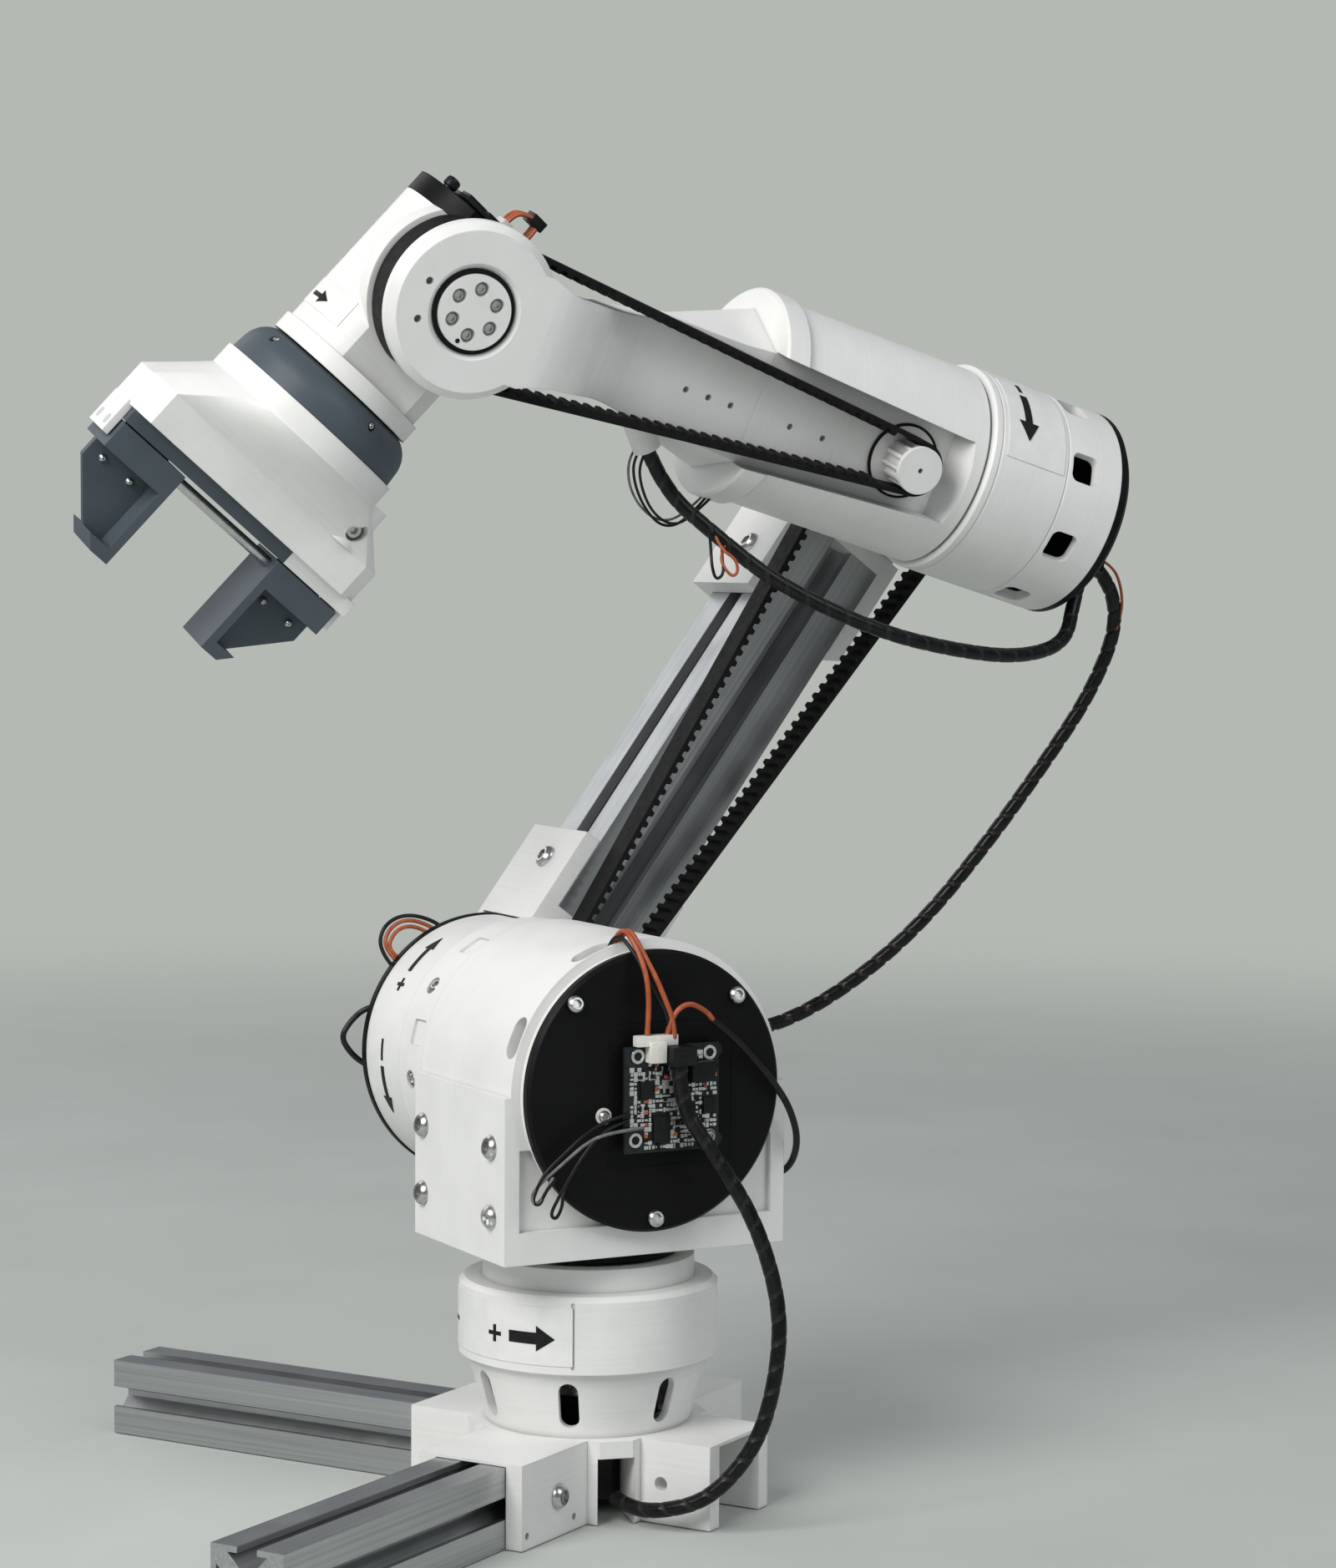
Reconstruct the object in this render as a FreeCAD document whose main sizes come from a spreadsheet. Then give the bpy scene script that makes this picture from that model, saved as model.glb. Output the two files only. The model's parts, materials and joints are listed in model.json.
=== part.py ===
import FreeCAD, Part
import math
import os
import re
from FreeCAD import Placement, Rotation, Vector

# Six-axis belt-driven desk robot arm with a parallel gripper, millimetres.
# The origin is on the yaw axis at the surface that the base stands on.
# X is the arm's forward direction, Y its left and Z is up.

sizes = {
    # legs and base cross
    "leg_profile": 30.0, "leg_slot": 8.2, "leg_lip": 2.2, "leg_cavity": 16.4, "leg_depth": 9.2,
    "leg_core": 6.8, "leg_reach": 218.0, "legs_yaw": 31.74,
    "socket_wall": 7.0, "socket_gap": 0.2, "socket_start": 38.0, "socket_roof": 1.2,
    "cross_long": 82.0, "cross_short": 66.5, "cross_core": 36.7, "cross_corner": 9.0, "pin_hole": 1.3,
    "pin_depth": 4.0,
    "pin_height": 5.0, "pin_inset": 3.5,
    "cable_port_width": 14.0, "cable_port_height": 26.0, "cable_port_floor": -1.0,
    "leg_bolt_inset": 25.0, "short_bolt_inset": 21.0, "nut_side": 10.0, "nut_height": 3.0,
    "bolt_shank": 5.0,
    "bolt_head": 9.5, "bolt_head_height": 2.75, "bolt_gap": 0.15,
    # yaw housing
    "cone_foot_radius": 39.2, "cone_top_radius": 46.5, "collar_radius": 49.5, "collar_bottom": 57.3,
    "cap_height": 8.7, "collar_chamfer": 2.0, "housing_wall": 4.0, "cone_slot_width": 7.5,
    "cone_slot_height": 17.5, "cone_slots": 7.0, "cone_slot_turn": 21.8, "collar_seam": 1.2,
    "collar_seam_turn": 24.8,
    "bearing_cap_radius": 40.5, "turntable_height": 6.5,
    "turntable_radius": 33.5, "turntable_gap": 0.5, "yaw_neck": 21.5, "yaw_bearing_wall": 8.0,
    "yaw_bearing_height": 8.0, "running_gap": 0.05,
    # motors
    "motor_side": 42.3, "motor_corner": 4.0, "motor_length": 38.0,
    "gearbox_length": 27.0, "shaft_radius": 4.0, "yaw_motor_floor": 5.0, "small_motor_side": 28.2,
    "small_motor_length": 30.0, "motor_room_gap": 0.3,
    # shoulder
    "pitch_height": 163.3, "block_half": 58.5, "block_near": 47.6, "block_far": 31.3, "block_drop": 61.8,
    "drum_radius": 56.0, "drum_bore": 48.0, "block_back_wall": 6.0, "block_wall": 6.0, "front_recess": 2.5,
    "cover_radius": 52.4, "cover_thickness": 4.0, "cover_bevel": 1.2, "cover_face": 54.0,
    "cover_screw_circle": 47.5,
    "cover_screw": 3.0, "screw_head": 5.6, "screw_head_height": 1.8,
    "board_width": 34.0, "board_height": 39.5, "board_thickness": 1.6, "board_x": 9.5, "board_z": 2.0,
    "standoff_radius": 2.6, "standoff_height": 4.0, "board_hole_inset": 3.2,
    "face_bolt_low": 118.0, "face_bolt_high": 144.0, "face_bolt_near": 36.0, "face_bolt_far": 24.0,
    "vent_length": 16.0, "vent_width": 8.5, "vent_y": 42.5, "vent_turn": 22.5, "gearbox_bore": 24.0,
    "pitch_gearbox_radius": 23.5,
    # upper arm
    "arm_lean": 36.3, "arm_length": 284.0, "arm_profile": 40.0, "arm_slot": 10.4, "arm_lip": 4.2,
    "arm_cavity": 20.0, "arm_depth": 12.0, "arm_core": 8.0, "arm_y": 82.0, "arm_start": 57.0,
    "arm_short": 34.0, "root_radius": 52.4, "root_near": 56.0, "root_far": 92.0, "root_wall": 4.5,
    "root_plate": 5.0,
    "root_plate_bore": 11.0,
    "root_cover_thickness": 3.0, "root_cover_lip": 0.6, "elbow_motor_length": 30.0,
    "ring_radius": 54.5, "ring_wall": 7.0, "ring_near": 31.8, "ring_plate": 5.0, "ring_bolts": 6.0,
    "ring_bolt_y": 45.0, "ring_bolt_turn": -1.7, "ring_bolt_step": 40.0, "ring_pocket": 3.6,
    "ring_head_height": 2.4,
    "ring_panel_depth": 1.2, "ring_panel": 10.0, "ring_panel_y": 41.5,
    "bracket_wall": 7.0, "bracket_top": 88.0, "bracket_gap": 0.15, "lower_bolt": 74.0,
    "bolt_from_end": 19.0,
    "bracket_nut_side": 12.0, "bracket_nut_height": 4.0, "bracket_overlap": 39.0, "elbow_boss_radius": 24.0,
    "elbow_near": 63.0, "elbow_far": 104.0,
    "axle_radius": 7.0, "elbow_bearing_radius": 15.0, "elbow_bearing_width": 9.0,
    # belts and pulleys
    "belt_pitch": 5.0, "belt_back": 1.75, "tooth_height": 2.05, "tooth_width": 3.0, "belt_clear": 0.3,
    "pitch_line": 0.57, "belt_width": 12.0, "belt_y": 49.5, "drive_teeth": 12.0, "elbow_teeth": 38.0,
    "wrist_teeth": 34.0, "drive_flange_radius": 14.5,
    # elbow and forearm
    "forearm_rise": 16.0, "forearm_roll": -16.5, "roll_radius": 42.0, "roll_length": 62.0, "roll_wall": 4.0,
    "roll_lead": 17.0, "roll_groove": 19.0, "roll_lip": 4.0, "seam_depth": 0.5,
    "roll_front": 5.0, "roll_hub_radius": 14.0, "elbow_pad_half": 17.0, "elbow_pad_depth": 9.0,
    "roll_cover_depth": 6.0, "roll_cover_round": 3.0, "elbow_plate_thickness": 2.3,
    "elbow_plate_radius": 27.5,
    "elbow_pad_rise": 0.9,
    "tube_radius": 40.0, "tube_gap": 0.5, "tube_wall": 4.0, "tube_back": 4.5, "tube_nose": 9.5,
    "hub_gap": 0.3,
    "pocket_plate": 4.0, "pocket_rear_half": 17.0, "pocket_front_half": 22.5, "tube_front": 104.0,
    "flange_radius": 42.0, "flange_end": 114.0, "pocket_floor": 26.0, "pocket_rear": 28.0,
    "pocket_slope": 6.0,
    "drive_x": 46.0, "vent_square": 12.0, "vent_round": 3.0, "vent_x": 27.0, "rear_vents": 8.0,
    "rear_vent_turn": 15.0,
    "floor_hole": 1.2, "floor_hole_z": 2.5, "face_hole": 2.5, "face_hole_depth": 4.0,
    # yoke and wrist
    "wrist_x": 244.5, "yoke_back": 11.0, "yoke_half": 21.0, "neck_half": 17.0, "neck_start": 158.0,
    "neck_end": 180.0,
    "yoke_bend_start": 172.0, "yoke_bend_end": 208.0, "yoke_ease": 8.0, "yoke_root_end": 168.0,
    "yoke_disc_radius": 32.5,
    "yoke_disc_back": 41.0, "yoke_disc_face": 48.0, "disc_bevel": 3.0, "bore_bevel": 1.4, "disc_hole": 1.4,
    "disc_flare_x": 23.5, "disc_flare_half": 22.0, "disc_flare_length": 19.0, "root_half": 22.0,
    "root_crown": 33.0,
    "root_crown_y": -5.0, "root_back": -26.0, "root_back_half": 24.0, "neck_near_half": 18.0,
    "neck_crown": 18.5,
    "neck_crown_y": 18.0, "neck_back_half": 15.0,
    "wrist_drop": 67.0, "wrist_radius": 30.0, "wrist_rear": 20.0, "wrist_front": 50.0, "wrist_flat": 25.0,
    "wrist_lip": 1.7, "wrist_lip_length": 7.0, "wrist_cover_depth": 8.0, "wrist_boss_radius": 33.0,
    "wrist_boss_depth": 9.0, "wrist_hub_radius": 15.4, "wrist_hub_nose": 13.8, "wrist_bore": 16.2,
    "wrist_hub_face": 48.3, "hub_bolts": 6.0, "hub_bolt_circle": 8.6, "hub_bolt_turn": 33.0,
    "hub_counterbore": 2.7,
    "hub_counterbore_depth": 2.5, "wrist_belt_near": 39.4, "wrist_bearing_low": 42.0,
    "wrist_bearing_high": 46.4,
    "drive_cap_radius": 9.3, "drive_cap_depth": 2.2, "drive_cap_hole": 1.0,
    # gripper
    "adapter_rear_radius": 30.5, "adapter_radius": 38.0, "adapter_start": 50.6, "adapter_end": 66.0,
    "adapter_hole": 1.7, "adapter_hole_x": 54.5, "adapter_hole_turn": -10.0, "adapter_hole_step": 85.0,
    "body_radius": 39.5, "body_round_end": 75.0, "bar_start": 93.0, "body_end": 107.0, "bar_half": 59.0,
    "bar_depth": 17.0, "bar_bevel": 9.0, "side_boss": 8.0, "side_boss_y": 11.0, "side_boss_z": 36.0,
    "side_boss_start": 74.0, "side_boss_hole_x": 86.0, "side_boss_hole": 4.0, "track_half": 10.0,
    "track_depth": 12.0,
    "rail_thickness": 5.5, "rail_half": 12.5, "rail_low": 26.0, "rail_high": 56.0, "rail_joint": 0.3,
    "key_way": 4.5,
    "key_depth": 2.5, "ear_half": 9.0, "ear_inner": 56.2, "ear_rise": 8.0, "rod_radius": 2.0, "rod_y": 5.0,
    "rod_lift": 3.7, "jaw_inner": 24.5, "jaw_length": 31.0, "jaw_depth": 12.5, "jaw_gap": 0.6,
    "jaw_block": 18.5,
    "jaw_reach": 42.5, "jaw_tip_width": 8.0, "jaw_tip_depth": 5.0, "jaw_web": 3.0, "jaw_pocket": 11.0,
    "jaw_rib": 3.5,
    "key_half": 4.2, "key_inset": 6.0,
    # cables
    "harness_radius": 2.9, "gland_radius": 5.5, "gland_length": 11.0, "gland_y": 74.0,
    "roll_gland_length": 4.0, "roll_gland_y": 8.0, "roll_gland_z": 12.0,
    "roll_plug_length": 12.0, "roll_plug_near": 16.0, "roll_plug_far": 4.0, "roll_plug_low": 21.0,
    "roll_plug_high": 5.0, "relief_x": 154.0, "relief_y": 18.0, "relief_drop": 8.0,
    "connector_width": 10.0, "connector_height": 7.0, "connector_depth": 9.0,
}

# Levels that follow the shoulder's height and the arm's length.
levels = {
    "block_bottom": "=pitch_height - block_drop",
    "bearing_cap_top": "=pitch_height - block_drop - turntable_height",
    "collar_top": "=pitch_height - block_drop - turntable_height - cap_height",
    "arm_end": "=arm_length - arm_short",
    "upper_bolt": "=arm_length - arm_short - bolt_from_end",
    "elbow_bracket_bottom": "=arm_length - arm_short - bracket_overlap",
}

doc = FreeCAD.newDocument("RobotArm")
sheet = doc.addObject("Spreadsheet::Sheet", "dims")
for row, (alias, value) in enumerate(list(sizes.items()) + list(levels.items()), start=1):
    sheet.set("A%d" % row, alias)
    sheet.set("B%d" % row, str(value))
    sheet.setAlias("B%d" % row, alias)
    doc.recompute()


class Sizes:
    # Reads a driving dimension from the sheet by its alias.
    def __getattr__(self, alias):
        return float(getattr(sheet, alias))


dim = Sizes()
aliasWord = re.compile(r"\b(" + "|".join(list(sizes) + list(levels)) + r")\b")
alongX = Rotation(Vector(0, 1, 0), 90)
alongY = Rotation(Vector(1, 0, 0), -90)
alongZ = Rotation()
subParts = []


def bind(obj, prop, formula):
    obj.setExpression(prop, aliasWord.sub(r"dims.\1", str(formula)))


def standAt(obj, at, turn=alongZ):
    obj.Placement = Placement(Vector(), turn)
    for axis, formula in zip("xyz", at):
        bind(obj, "Placement.Base." + axis, formula)
    return obj


def box(name, spanX, spanY, spanZ):
    obj = doc.addObject("Part::Box", name)
    for prop, (low, high) in zip(("Length", "Width", "Height"), (spanX, spanY, spanZ)):
        bind(obj, prop, "(%s) - (%s)" % (high, low))
    return standAt(obj, (spanX[0], spanY[0], spanZ[0]))


def cylinder(name, radius, length, at, turn=alongZ):
    obj = doc.addObject("Part::Cylinder", name)
    bind(obj, "Radius", radius)
    bind(obj, "Height", length)
    return standAt(obj, at, turn)


def cone(name, radius, endRadius, length, at, turn=alongZ):
    obj = doc.addObject("Part::Cone", name)
    bind(obj, "Radius1", radius)
    bind(obj, "Radius2", endRadius)
    bind(obj, "Height", length)
    return standAt(obj, at, turn)


def fuse(name, solids):
    obj = doc.addObject("Part::MultiFuse", name)
    obj.Shapes = solids
    obj.Refine = True
    return obj


def group(name, solids):
    obj = doc.addObject("Part::Compound", name)
    obj.Links = solids
    return obj


def cut(name, base, tools):
    obj = doc.addObject("Part::Cut", name)
    obj.Base = base
    obj.Tool = tools[0] if len(tools) == 1 else fuse(name + "_tools", tools)
    obj.Refine = True
    return obj


def outline(start, *steps):
    # A closed outline: a point is a line to it, a pair of points an arc through the first to the second.
    edges = []
    here = Vector(*start)
    for step in steps + (start,):
        if isinstance(step[0], tuple):
            edges.append(Part.Arc(here, Vector(*step[0]), Vector(*step[1])))
            here = Vector(*step[1])
        elif (Vector(*step) - here).Length > 1e-6:
            edges.append(Part.LineSegment(here, Vector(*step)))
            here = Vector(*step)
    return edges


def circle(x, y, radius):
    return [Part.Circle(Vector(x, y, 0), Vector(0, 0, 1), radius)]


def sketchOn(body, role, loops, offset):
    sketch = body.newObject("Sketcher::SketchObject", body.Name + "_sketch")
    plane = [item for item in body.Origin.OriginFeatures if item.Role == role][0]
    sketch.AttachmentSupport = (plane, "")
    sketch.MapMode = "FlatFace"
    bind(sketch, "AttachmentOffset.Base.z", offset)
    for edges in loops:
        sketch.addGeometry(edges)
    return sketch


def pad(name, role, loops, low, high):
    body = doc.addObject("PartDesign::Body", name)
    # the XZ plane's normal points to -Y, so its sketch starts at the high end
    offset = "-(%s)" % high if role == "XZ_Plane" else low
    sketch = sketchOn(body, role, loops, offset)
    feature = body.newObject("PartDesign::Pad", name + "_pad")
    feature.Profile = sketch
    bind(feature, "Length", "(%s) - (%s)" % (high, low))
    return body


def roundedLoop(length, width, radius):
    # A rectangle about the origin with rounded corners; half the width as radius gives round ends.
    a, b = length / 2, width / 2
    bend = radius * (1 - math.sqrt(0.5))
    return outline((a, radius - b), (a, b - radius), ((a - bend, b - bend), (a - radius, b)),
                   (radius - a, b),
                   ((bend - a, b - bend), (-a, b - radius)), (-a, radius - b),
                   ((bend - a, bend - b), (radius - a, -b)), (a - radius, -b),
                   ((a - bend, bend - b), (a, radius - b)))


def slotTool(name, length, width, radius, low, high, place):
    # A rounded prism along its own Z, put in place as a cutting tool.
    tool = pad(name, "XY_Plane", [roundedLoop(length, width, radius)], low, high)
    tool.Placement = place
    return tool


def outwards(angle):
    # Turns Z into the X-Z plane at an angle from X.
    return Rotation(axisY, 90 - angle)


def revolve(name, loops, axis="V_Axis"):
    body = doc.addObject("PartDesign::Body", name)
    sketch = sketchOn(body, "XZ_Plane", loops, "0")
    feature = body.newObject("PartDesign::Revolution", name + "_turn")
    feature.Profile = sketch
    feature.ReferenceAxis = (sketch, [axis])
    feature.Angle = 360.0
    return body


def subPart(label, obj, frame=Placement()):
    if obj.TypeId in ("Part::Box", "Part::Cylinder", "Part::Cone"):
        obj = group(label + "_piece", [obj])
    obj.Label = label
    obj.Placement = frame
    subParts.append(obj)
    return obj


def turnAbout(axis, angle):
    return Placement(Vector(), Rotation(axis, angle))


def moveBy(x, y, z):
    return Placement(Vector(x, y, z), Rotation())


# Link frames at rest, each from the one before it.
axisX = Vector(1, 0, 0)
axisY = Vector(0, 1, 0)
axisZ = Vector(0, 0, 1)
baseFrame = turnAbout(axisZ, dim.legs_yaw)
shoulderFrame = Placement()
pitchFrame = moveBy(0, 0, dim.pitch_height)
armFrame = pitchFrame * turnAbout(axisY, -dim.arm_lean)
elbowFrame = armFrame * moveBy(0, 0, dim.arm_length) * turnAbout(axisY, dim.arm_lean - dim.forearm_rise)
forearmFrame = elbowFrame * turnAbout(axisX, dim.forearm_roll)
wristFrame = forearmFrame * moveBy(dim.wrist_x, 0, 0) * turnAbout(axisY, dim.wrist_drop)


# Pieces that several links use.
def slottedProfile(name, role, profile, slot, lip, cavity, depth, core, low, high, shift=(0, 0)):
    half = profile / 2
    floor = cavity / 2 - (depth - lip)
    side = [(half, -half), (half, -slot / 2), (half - lip, -slot / 2), (half - lip, -cavity / 2)]
    side += [(half - depth, -floor), (half - depth, floor)]
    side += [(half - lip, cavity / 2), (half - lip, slot / 2), (half, slot / 2)]
    points = []
    for quarter in range(4):
        c, s = round(math.cos(quarter * math.pi / 2)), round(math.sin(quarter * math.pi / 2))
        points += [(x * c - y * s + shift[0], x * s + y * c + shift[1]) for x, y in side]
    return pad(name, role, [outline(*points), circle(shift[0], shift[1], core / 2)], low, high)


def pitchRadius(teeth):
    return teeth * dim.belt_pitch / (2 * math.pi)


def tipRadius(teeth):
    return pitchRadius(teeth) - dim.pitch_line


def pulleyLoop(teeth, x, z):
    # Round grooves between the lands of a toothed pulley.
    teeth = int(teeth)
    tip = tipRadius(teeth)
    groove = dim.tooth_width / 2 / tip
    step = 2 * math.pi / teeth

    def spot(angle, radius):
        return (x + radius * math.cos(angle), z + radius * math.sin(angle))

    steps = []
    for tooth in range(teeth):
        centre = tooth * step
        steps.append((spot(centre, tip - dim.tooth_height), spot(centre + groove, tip)))
        steps.append((spot(centre + step / 2, tip), spot(centre + step - groove, tip)))
    return outline(spot(-groove, tip), *steps)


def beltLoops(smallTeeth, largeTeeth, span, place):
    # The belt runs round a small pulley at 0 and a large one at span along its own line.
    # Its teeth show on the free strands; round the pulleys its inner face is smooth and clears the tips.
    innerSmall = tipRadius(smallTeeth) + dim.belt_clear
    innerLarge = tipRadius(largeTeeth) + dim.belt_clear
    tilt = math.asin((innerLarge - innerSmall) / span)
    along = Vector(math.cos(tilt), math.sin(tilt), 0)
    out = Vector(-math.sin(tilt), math.cos(tilt), 0)

    def mirrored(point):
        return Vector(point.x, -point.y, 0)

    def pair(point):
        spot = place(point.x, point.y)
        return (spot[0], spot[1])

    def wrap(smallRadius, largeRadius, upper):
        start = out * smallRadius
        end = Vector(span, 0, 0) + out * largeRadius
        steps = [pair(p) for p in upper] + [pair(end)]
        steps.append((pair(Vector(span + largeRadius, 0, 0)), pair(mirrored(end))))
        steps += [pair(mirrored(p)) for p in reversed(upper)] + [pair(mirrored(start))]
        steps.append((pair(Vector(-smallRadius, 0, 0)), pair(start)))
        return outline(pair(start), *steps)

    strand = math.sqrt(span ** 2 - (innerLarge - innerSmall) ** 2)
    bare = dim.belt_pitch * 2.5
    count = int((strand - 2 * bare) / dim.belt_pitch)
    first = (strand - (count - 1) * dim.belt_pitch) / 2
    back = dim.tooth_height - dim.belt_clear
    teeth = []
    for tooth in range(count):
        centre = first + tooth * dim.belt_pitch
        foot = out * innerSmall + along * centre
        flank = dim.tooth_width / 2
        teeth += [foot - along * flank, foot - along * (flank * 0.6) - out * back]
        teeth += [foot + along * (flank * 0.6) - out * back, foot + along * flank]
    outer = wrap(innerSmall + dim.belt_back, innerLarge + dim.belt_back, [])
    return [outer, wrap(innerSmall, innerLarge, teeth)]


def motor(name, role, centre, low, high, shaftHigh, side):
    # A square stepper motor with chamfered corners and its shaft.
    half = side / 2
    corner = half - dim.motor_corner
    x, y = centre
    points = [(half, corner), (corner, half), (-corner, half), (-half, corner)]
    points += [(-half, -corner), (-corner, -half), (corner, -half), (half, -corner)]
    can = pad(name + "_can", role, [outline(*[(x + a, y + b) for a, b in points])], low, high)
    shaft = pad(name + "_shaft", role, [circle(x, y, dim.shaft_radius)], high, shaftHigh)
    return fuse(name + "_solid", [can, shaft])


def ringAlongY(name, x, z, outer, inner, low, high):
    return pad(name, "XZ_Plane", [circle(x, z, outer), circle(x, z, inner)], low, high)


def buttonBolt(name, at, turn, length):
    # Shank from the point inwards, head outwards, along the turned Z axis.
    shank = cylinder(name + "_shank", "bolt_shank / 2", length, at, turn)
    head = doc.addObject("Part::Cone", name + "_head")
    bind(head, "Radius1", "bolt_head / 2")
    bind(head, "Radius2", "bolt_head / 2 * 0.62")
    bind(head, "Height", "bolt_head_height")
    standAt(head, at, turn * Rotation(axisX, 180))
    return fuse(name, [shank, head])


# Base: cross block, legs and their bolts.
socketHalf = "(leg_profile / 2 + socket_gap)"
armHalf = "(leg_profile / 2 + socket_gap + socket_wall)"
crossTop = "(leg_profile + socket_gap + socket_roof)"
longBar = box("long_bar", ("-cross_long", "cross_long"), ("-" + armHalf, armHalf), ("0", crossTop))
shortBar = box("short_bar", ("-" + armHalf, armHalf), ("-cross_short", "cross_short"), ("0", crossTop))
core = dim.cross_core
chamfer = core - dim.cross_corner
corePoints = [(core, chamfer), (chamfer, core), (-chamfer, core), (-core, chamfer)]
corePoints += [(-core, -chamfer), (-chamfer, -core), (chamfer, -core), (core, -chamfer)]
coreBlock = pad("core_block", "XY_Plane", [outline(*corePoints)], "0", crossTop)
crossTools = []
for side, sign in (("front", 1), ("rear", -1)):
    span = ("socket_start", "cross_long + 1") if sign > 0 else ("-cross_long - 1", "-socket_start")
    crossTools.append(box(side + "_socket", span, ("-" + socketHalf, socketHalf),
                          ("-1", "leg_profile + socket_gap")))
for side, sign in (("right", 1), ("left", -1)):
    span = ("socket_start", "cross_short + 1") if sign > 0 else ("-cross_short - 1", "-socket_start")
    crossTools.append(box(side + "_socket", ("-" + socketHalf, socketHalf), span,
                          ("-1", "leg_profile + socket_gap")))
motorRoom = "(motor_side / 2 + socket_gap)"
crossTools.append(box("motor_room", ("-" + motorRoom, motorRoom), ("-" + motorRoom, motorRoom),
                      ("yaw_motor_floor - 0.1", crossTop + " + 1")))
port = doc.addObject("Part::Box", "cable_port")
bind(port, "Length", "cross_core * 2")
bind(port, "Width", "cable_port_width")
bind(port, "Height", "cable_port_height")
portSide = dim.cable_port_width / 2 * math.sqrt(0.5)
port.Placement = Placement(Vector(portSide, -portSide, dim.cable_port_floor), Rotation(axisZ, 45))
crossTools.append(port)
wayStart = "-" + armHalf + " - 1"
for name, at, turn in (("front", ("cross_long - leg_bolt_inset", wayStart, "leg_profile / 2"), alongY),
                       ("rear", ("-cross_long + leg_bolt_inset", wayStart, "leg_profile / 2"), alongY),
                       ("left", (wayStart, "-cross_short + short_bolt_inset", "leg_profile / 2"), alongX),
                       ("right", (wayStart, "cross_short - short_bolt_inset", "leg_profile / 2"), alongX)):
    crossTools.append(cylinder(name + "_bolt_way", "bolt_shank / 2 + bolt_gap", "2 * " + armHalf + " + 2",
                               at, turn))
for side, edge in (("low", wayStart), ("high", armHalf + " - pin_depth")):
    for place, inset in (("outer", "pin_inset"), ("inner", "2 * leg_bolt_inset - 4 * pin_inset")):
        crossTools.append(cylinder("front_pin_%s_%s" % (side, place), "pin_hole", "pin_depth + 1",
                                   ("cross_long - (%s)" % inset, edge, "pin_height"), alongY))
subPart("base_cross", cut("cross", fuse("cross_block", [longBar, shortBar, coreBlock]), crossTools),
        baseFrame)

legSizes = (dim.leg_profile, dim.leg_slot, dim.leg_lip, dim.leg_cavity, dim.leg_depth, dim.leg_core)
legLift = (0, dim.leg_profile / 2)
subPart("front_leg", slottedProfile("front_profile", "YZ_Plane", *legSizes, "socket_start", "leg_reach",
                                    legLift),
        baseFrame)
subPart("left_leg", slottedProfile("left_profile", "XZ_Plane", *legSizes, "-leg_reach", "-socket_start",
                                   legLift),
        baseFrame)

legBolts = []
legNuts = []
boltReach = "socket_wall + socket_gap + leg_lip + nut_height"
flip = Rotation(axisX, 180)
for name, at, turn in (
        ("front_a", ("cross_long - leg_bolt_inset", "-" + armHalf, "leg_profile / 2"), alongY),
        ("front_b", ("cross_long - leg_bolt_inset", armHalf, "leg_profile / 2"), alongY * flip),
        ("left_a", ("-" + armHalf, "-cross_short + short_bolt_inset", "leg_profile / 2"), alongX),
        ("left_b", (armHalf, "-cross_short + short_bolt_inset", "leg_profile / 2"), alongX * flip)):
    legBolts.append(buttonBolt("leg_bolt_" + name, at, turn, boltReach))
subPart("leg_bolts", group("leg_bolt_group", legBolts), baseFrame)

nutInner = "(leg_profile / 2 - leg_lip - nut_height)"
nutOuter = "(leg_profile / 2 - leg_lip)"


def around(middle, width):
    return ("%s - %s / 2" % (middle, width), "%s + %s / 2" % (middle, width))


nutX = around("cross_long - leg_bolt_inset", "nut_side")
nutY = around("-cross_short + short_bolt_inset", "nut_side")
nutZ = around("leg_profile / 2", "nut_side")
for name, spans in (("front_a", (nutX, ("-" + nutOuter, "-" + nutInner), nutZ)),
                    ("front_b", (nutX, (nutInner, nutOuter), nutZ)),
                    ("left_a", (("-" + nutOuter, "-" + nutInner), nutY, nutZ)),
                    ("left_b", ((nutInner, nutOuter), nutY, nutZ))):
    bolt = [item for item in legBolts if item.Name == "leg_bolt_" + name][0]
    legNuts.append(cut("leg_nut_" + name, box("nut_block_" + name, *spans), [bolt]))
subPart("leg_nuts", group("leg_nut_group", legNuts), baseFrame)

# Base: yaw housing with its motor, gearbox and bearing.
crossHeight = dim.leg_profile + dim.socket_gap + dim.socket_roof
wall = dim.housing_wall
housingShell = revolve("yaw_shell", [outline(
    (dim.cone_foot_radius - wall, crossHeight), (dim.cone_foot_radius, crossHeight),
    (dim.cone_top_radius, dim.collar_bottom), (dim.collar_radius, dim.collar_bottom),
    (dim.collar_radius, dim.collar_top - dim.collar_chamfer),
    (dim.collar_radius - dim.collar_chamfer, dim.collar_top), (dim.yaw_neck + dim.yaw_bearing_wall,
                                                               dim.collar_top),
    (dim.yaw_neck + dim.yaw_bearing_wall, dim.collar_top - wall), (dim.collar_radius - wall,
                                                                   dim.collar_top - wall),
    (dim.collar_radius - wall, dim.collar_bottom), (dim.cone_top_radius - wall, dim.collar_bottom - wall))])
slotTools = [slotTool("collar_seam", dim.collar_top - dim.collar_bottom - 2 * dim.collar_chamfer,
                      dim.collar_seam,
                      dim.collar_seam / 2, "collar_radius - collar_seam / 2", "collar_radius + 1",
                      Placement(Vector(0, 0, (dim.collar_top + dim.collar_bottom) / 2),
                                Rotation(axisZ, dim.collar_seam_turn) * alongX))]
slotMiddle = (crossHeight + dim.collar_bottom) / 2
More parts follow.
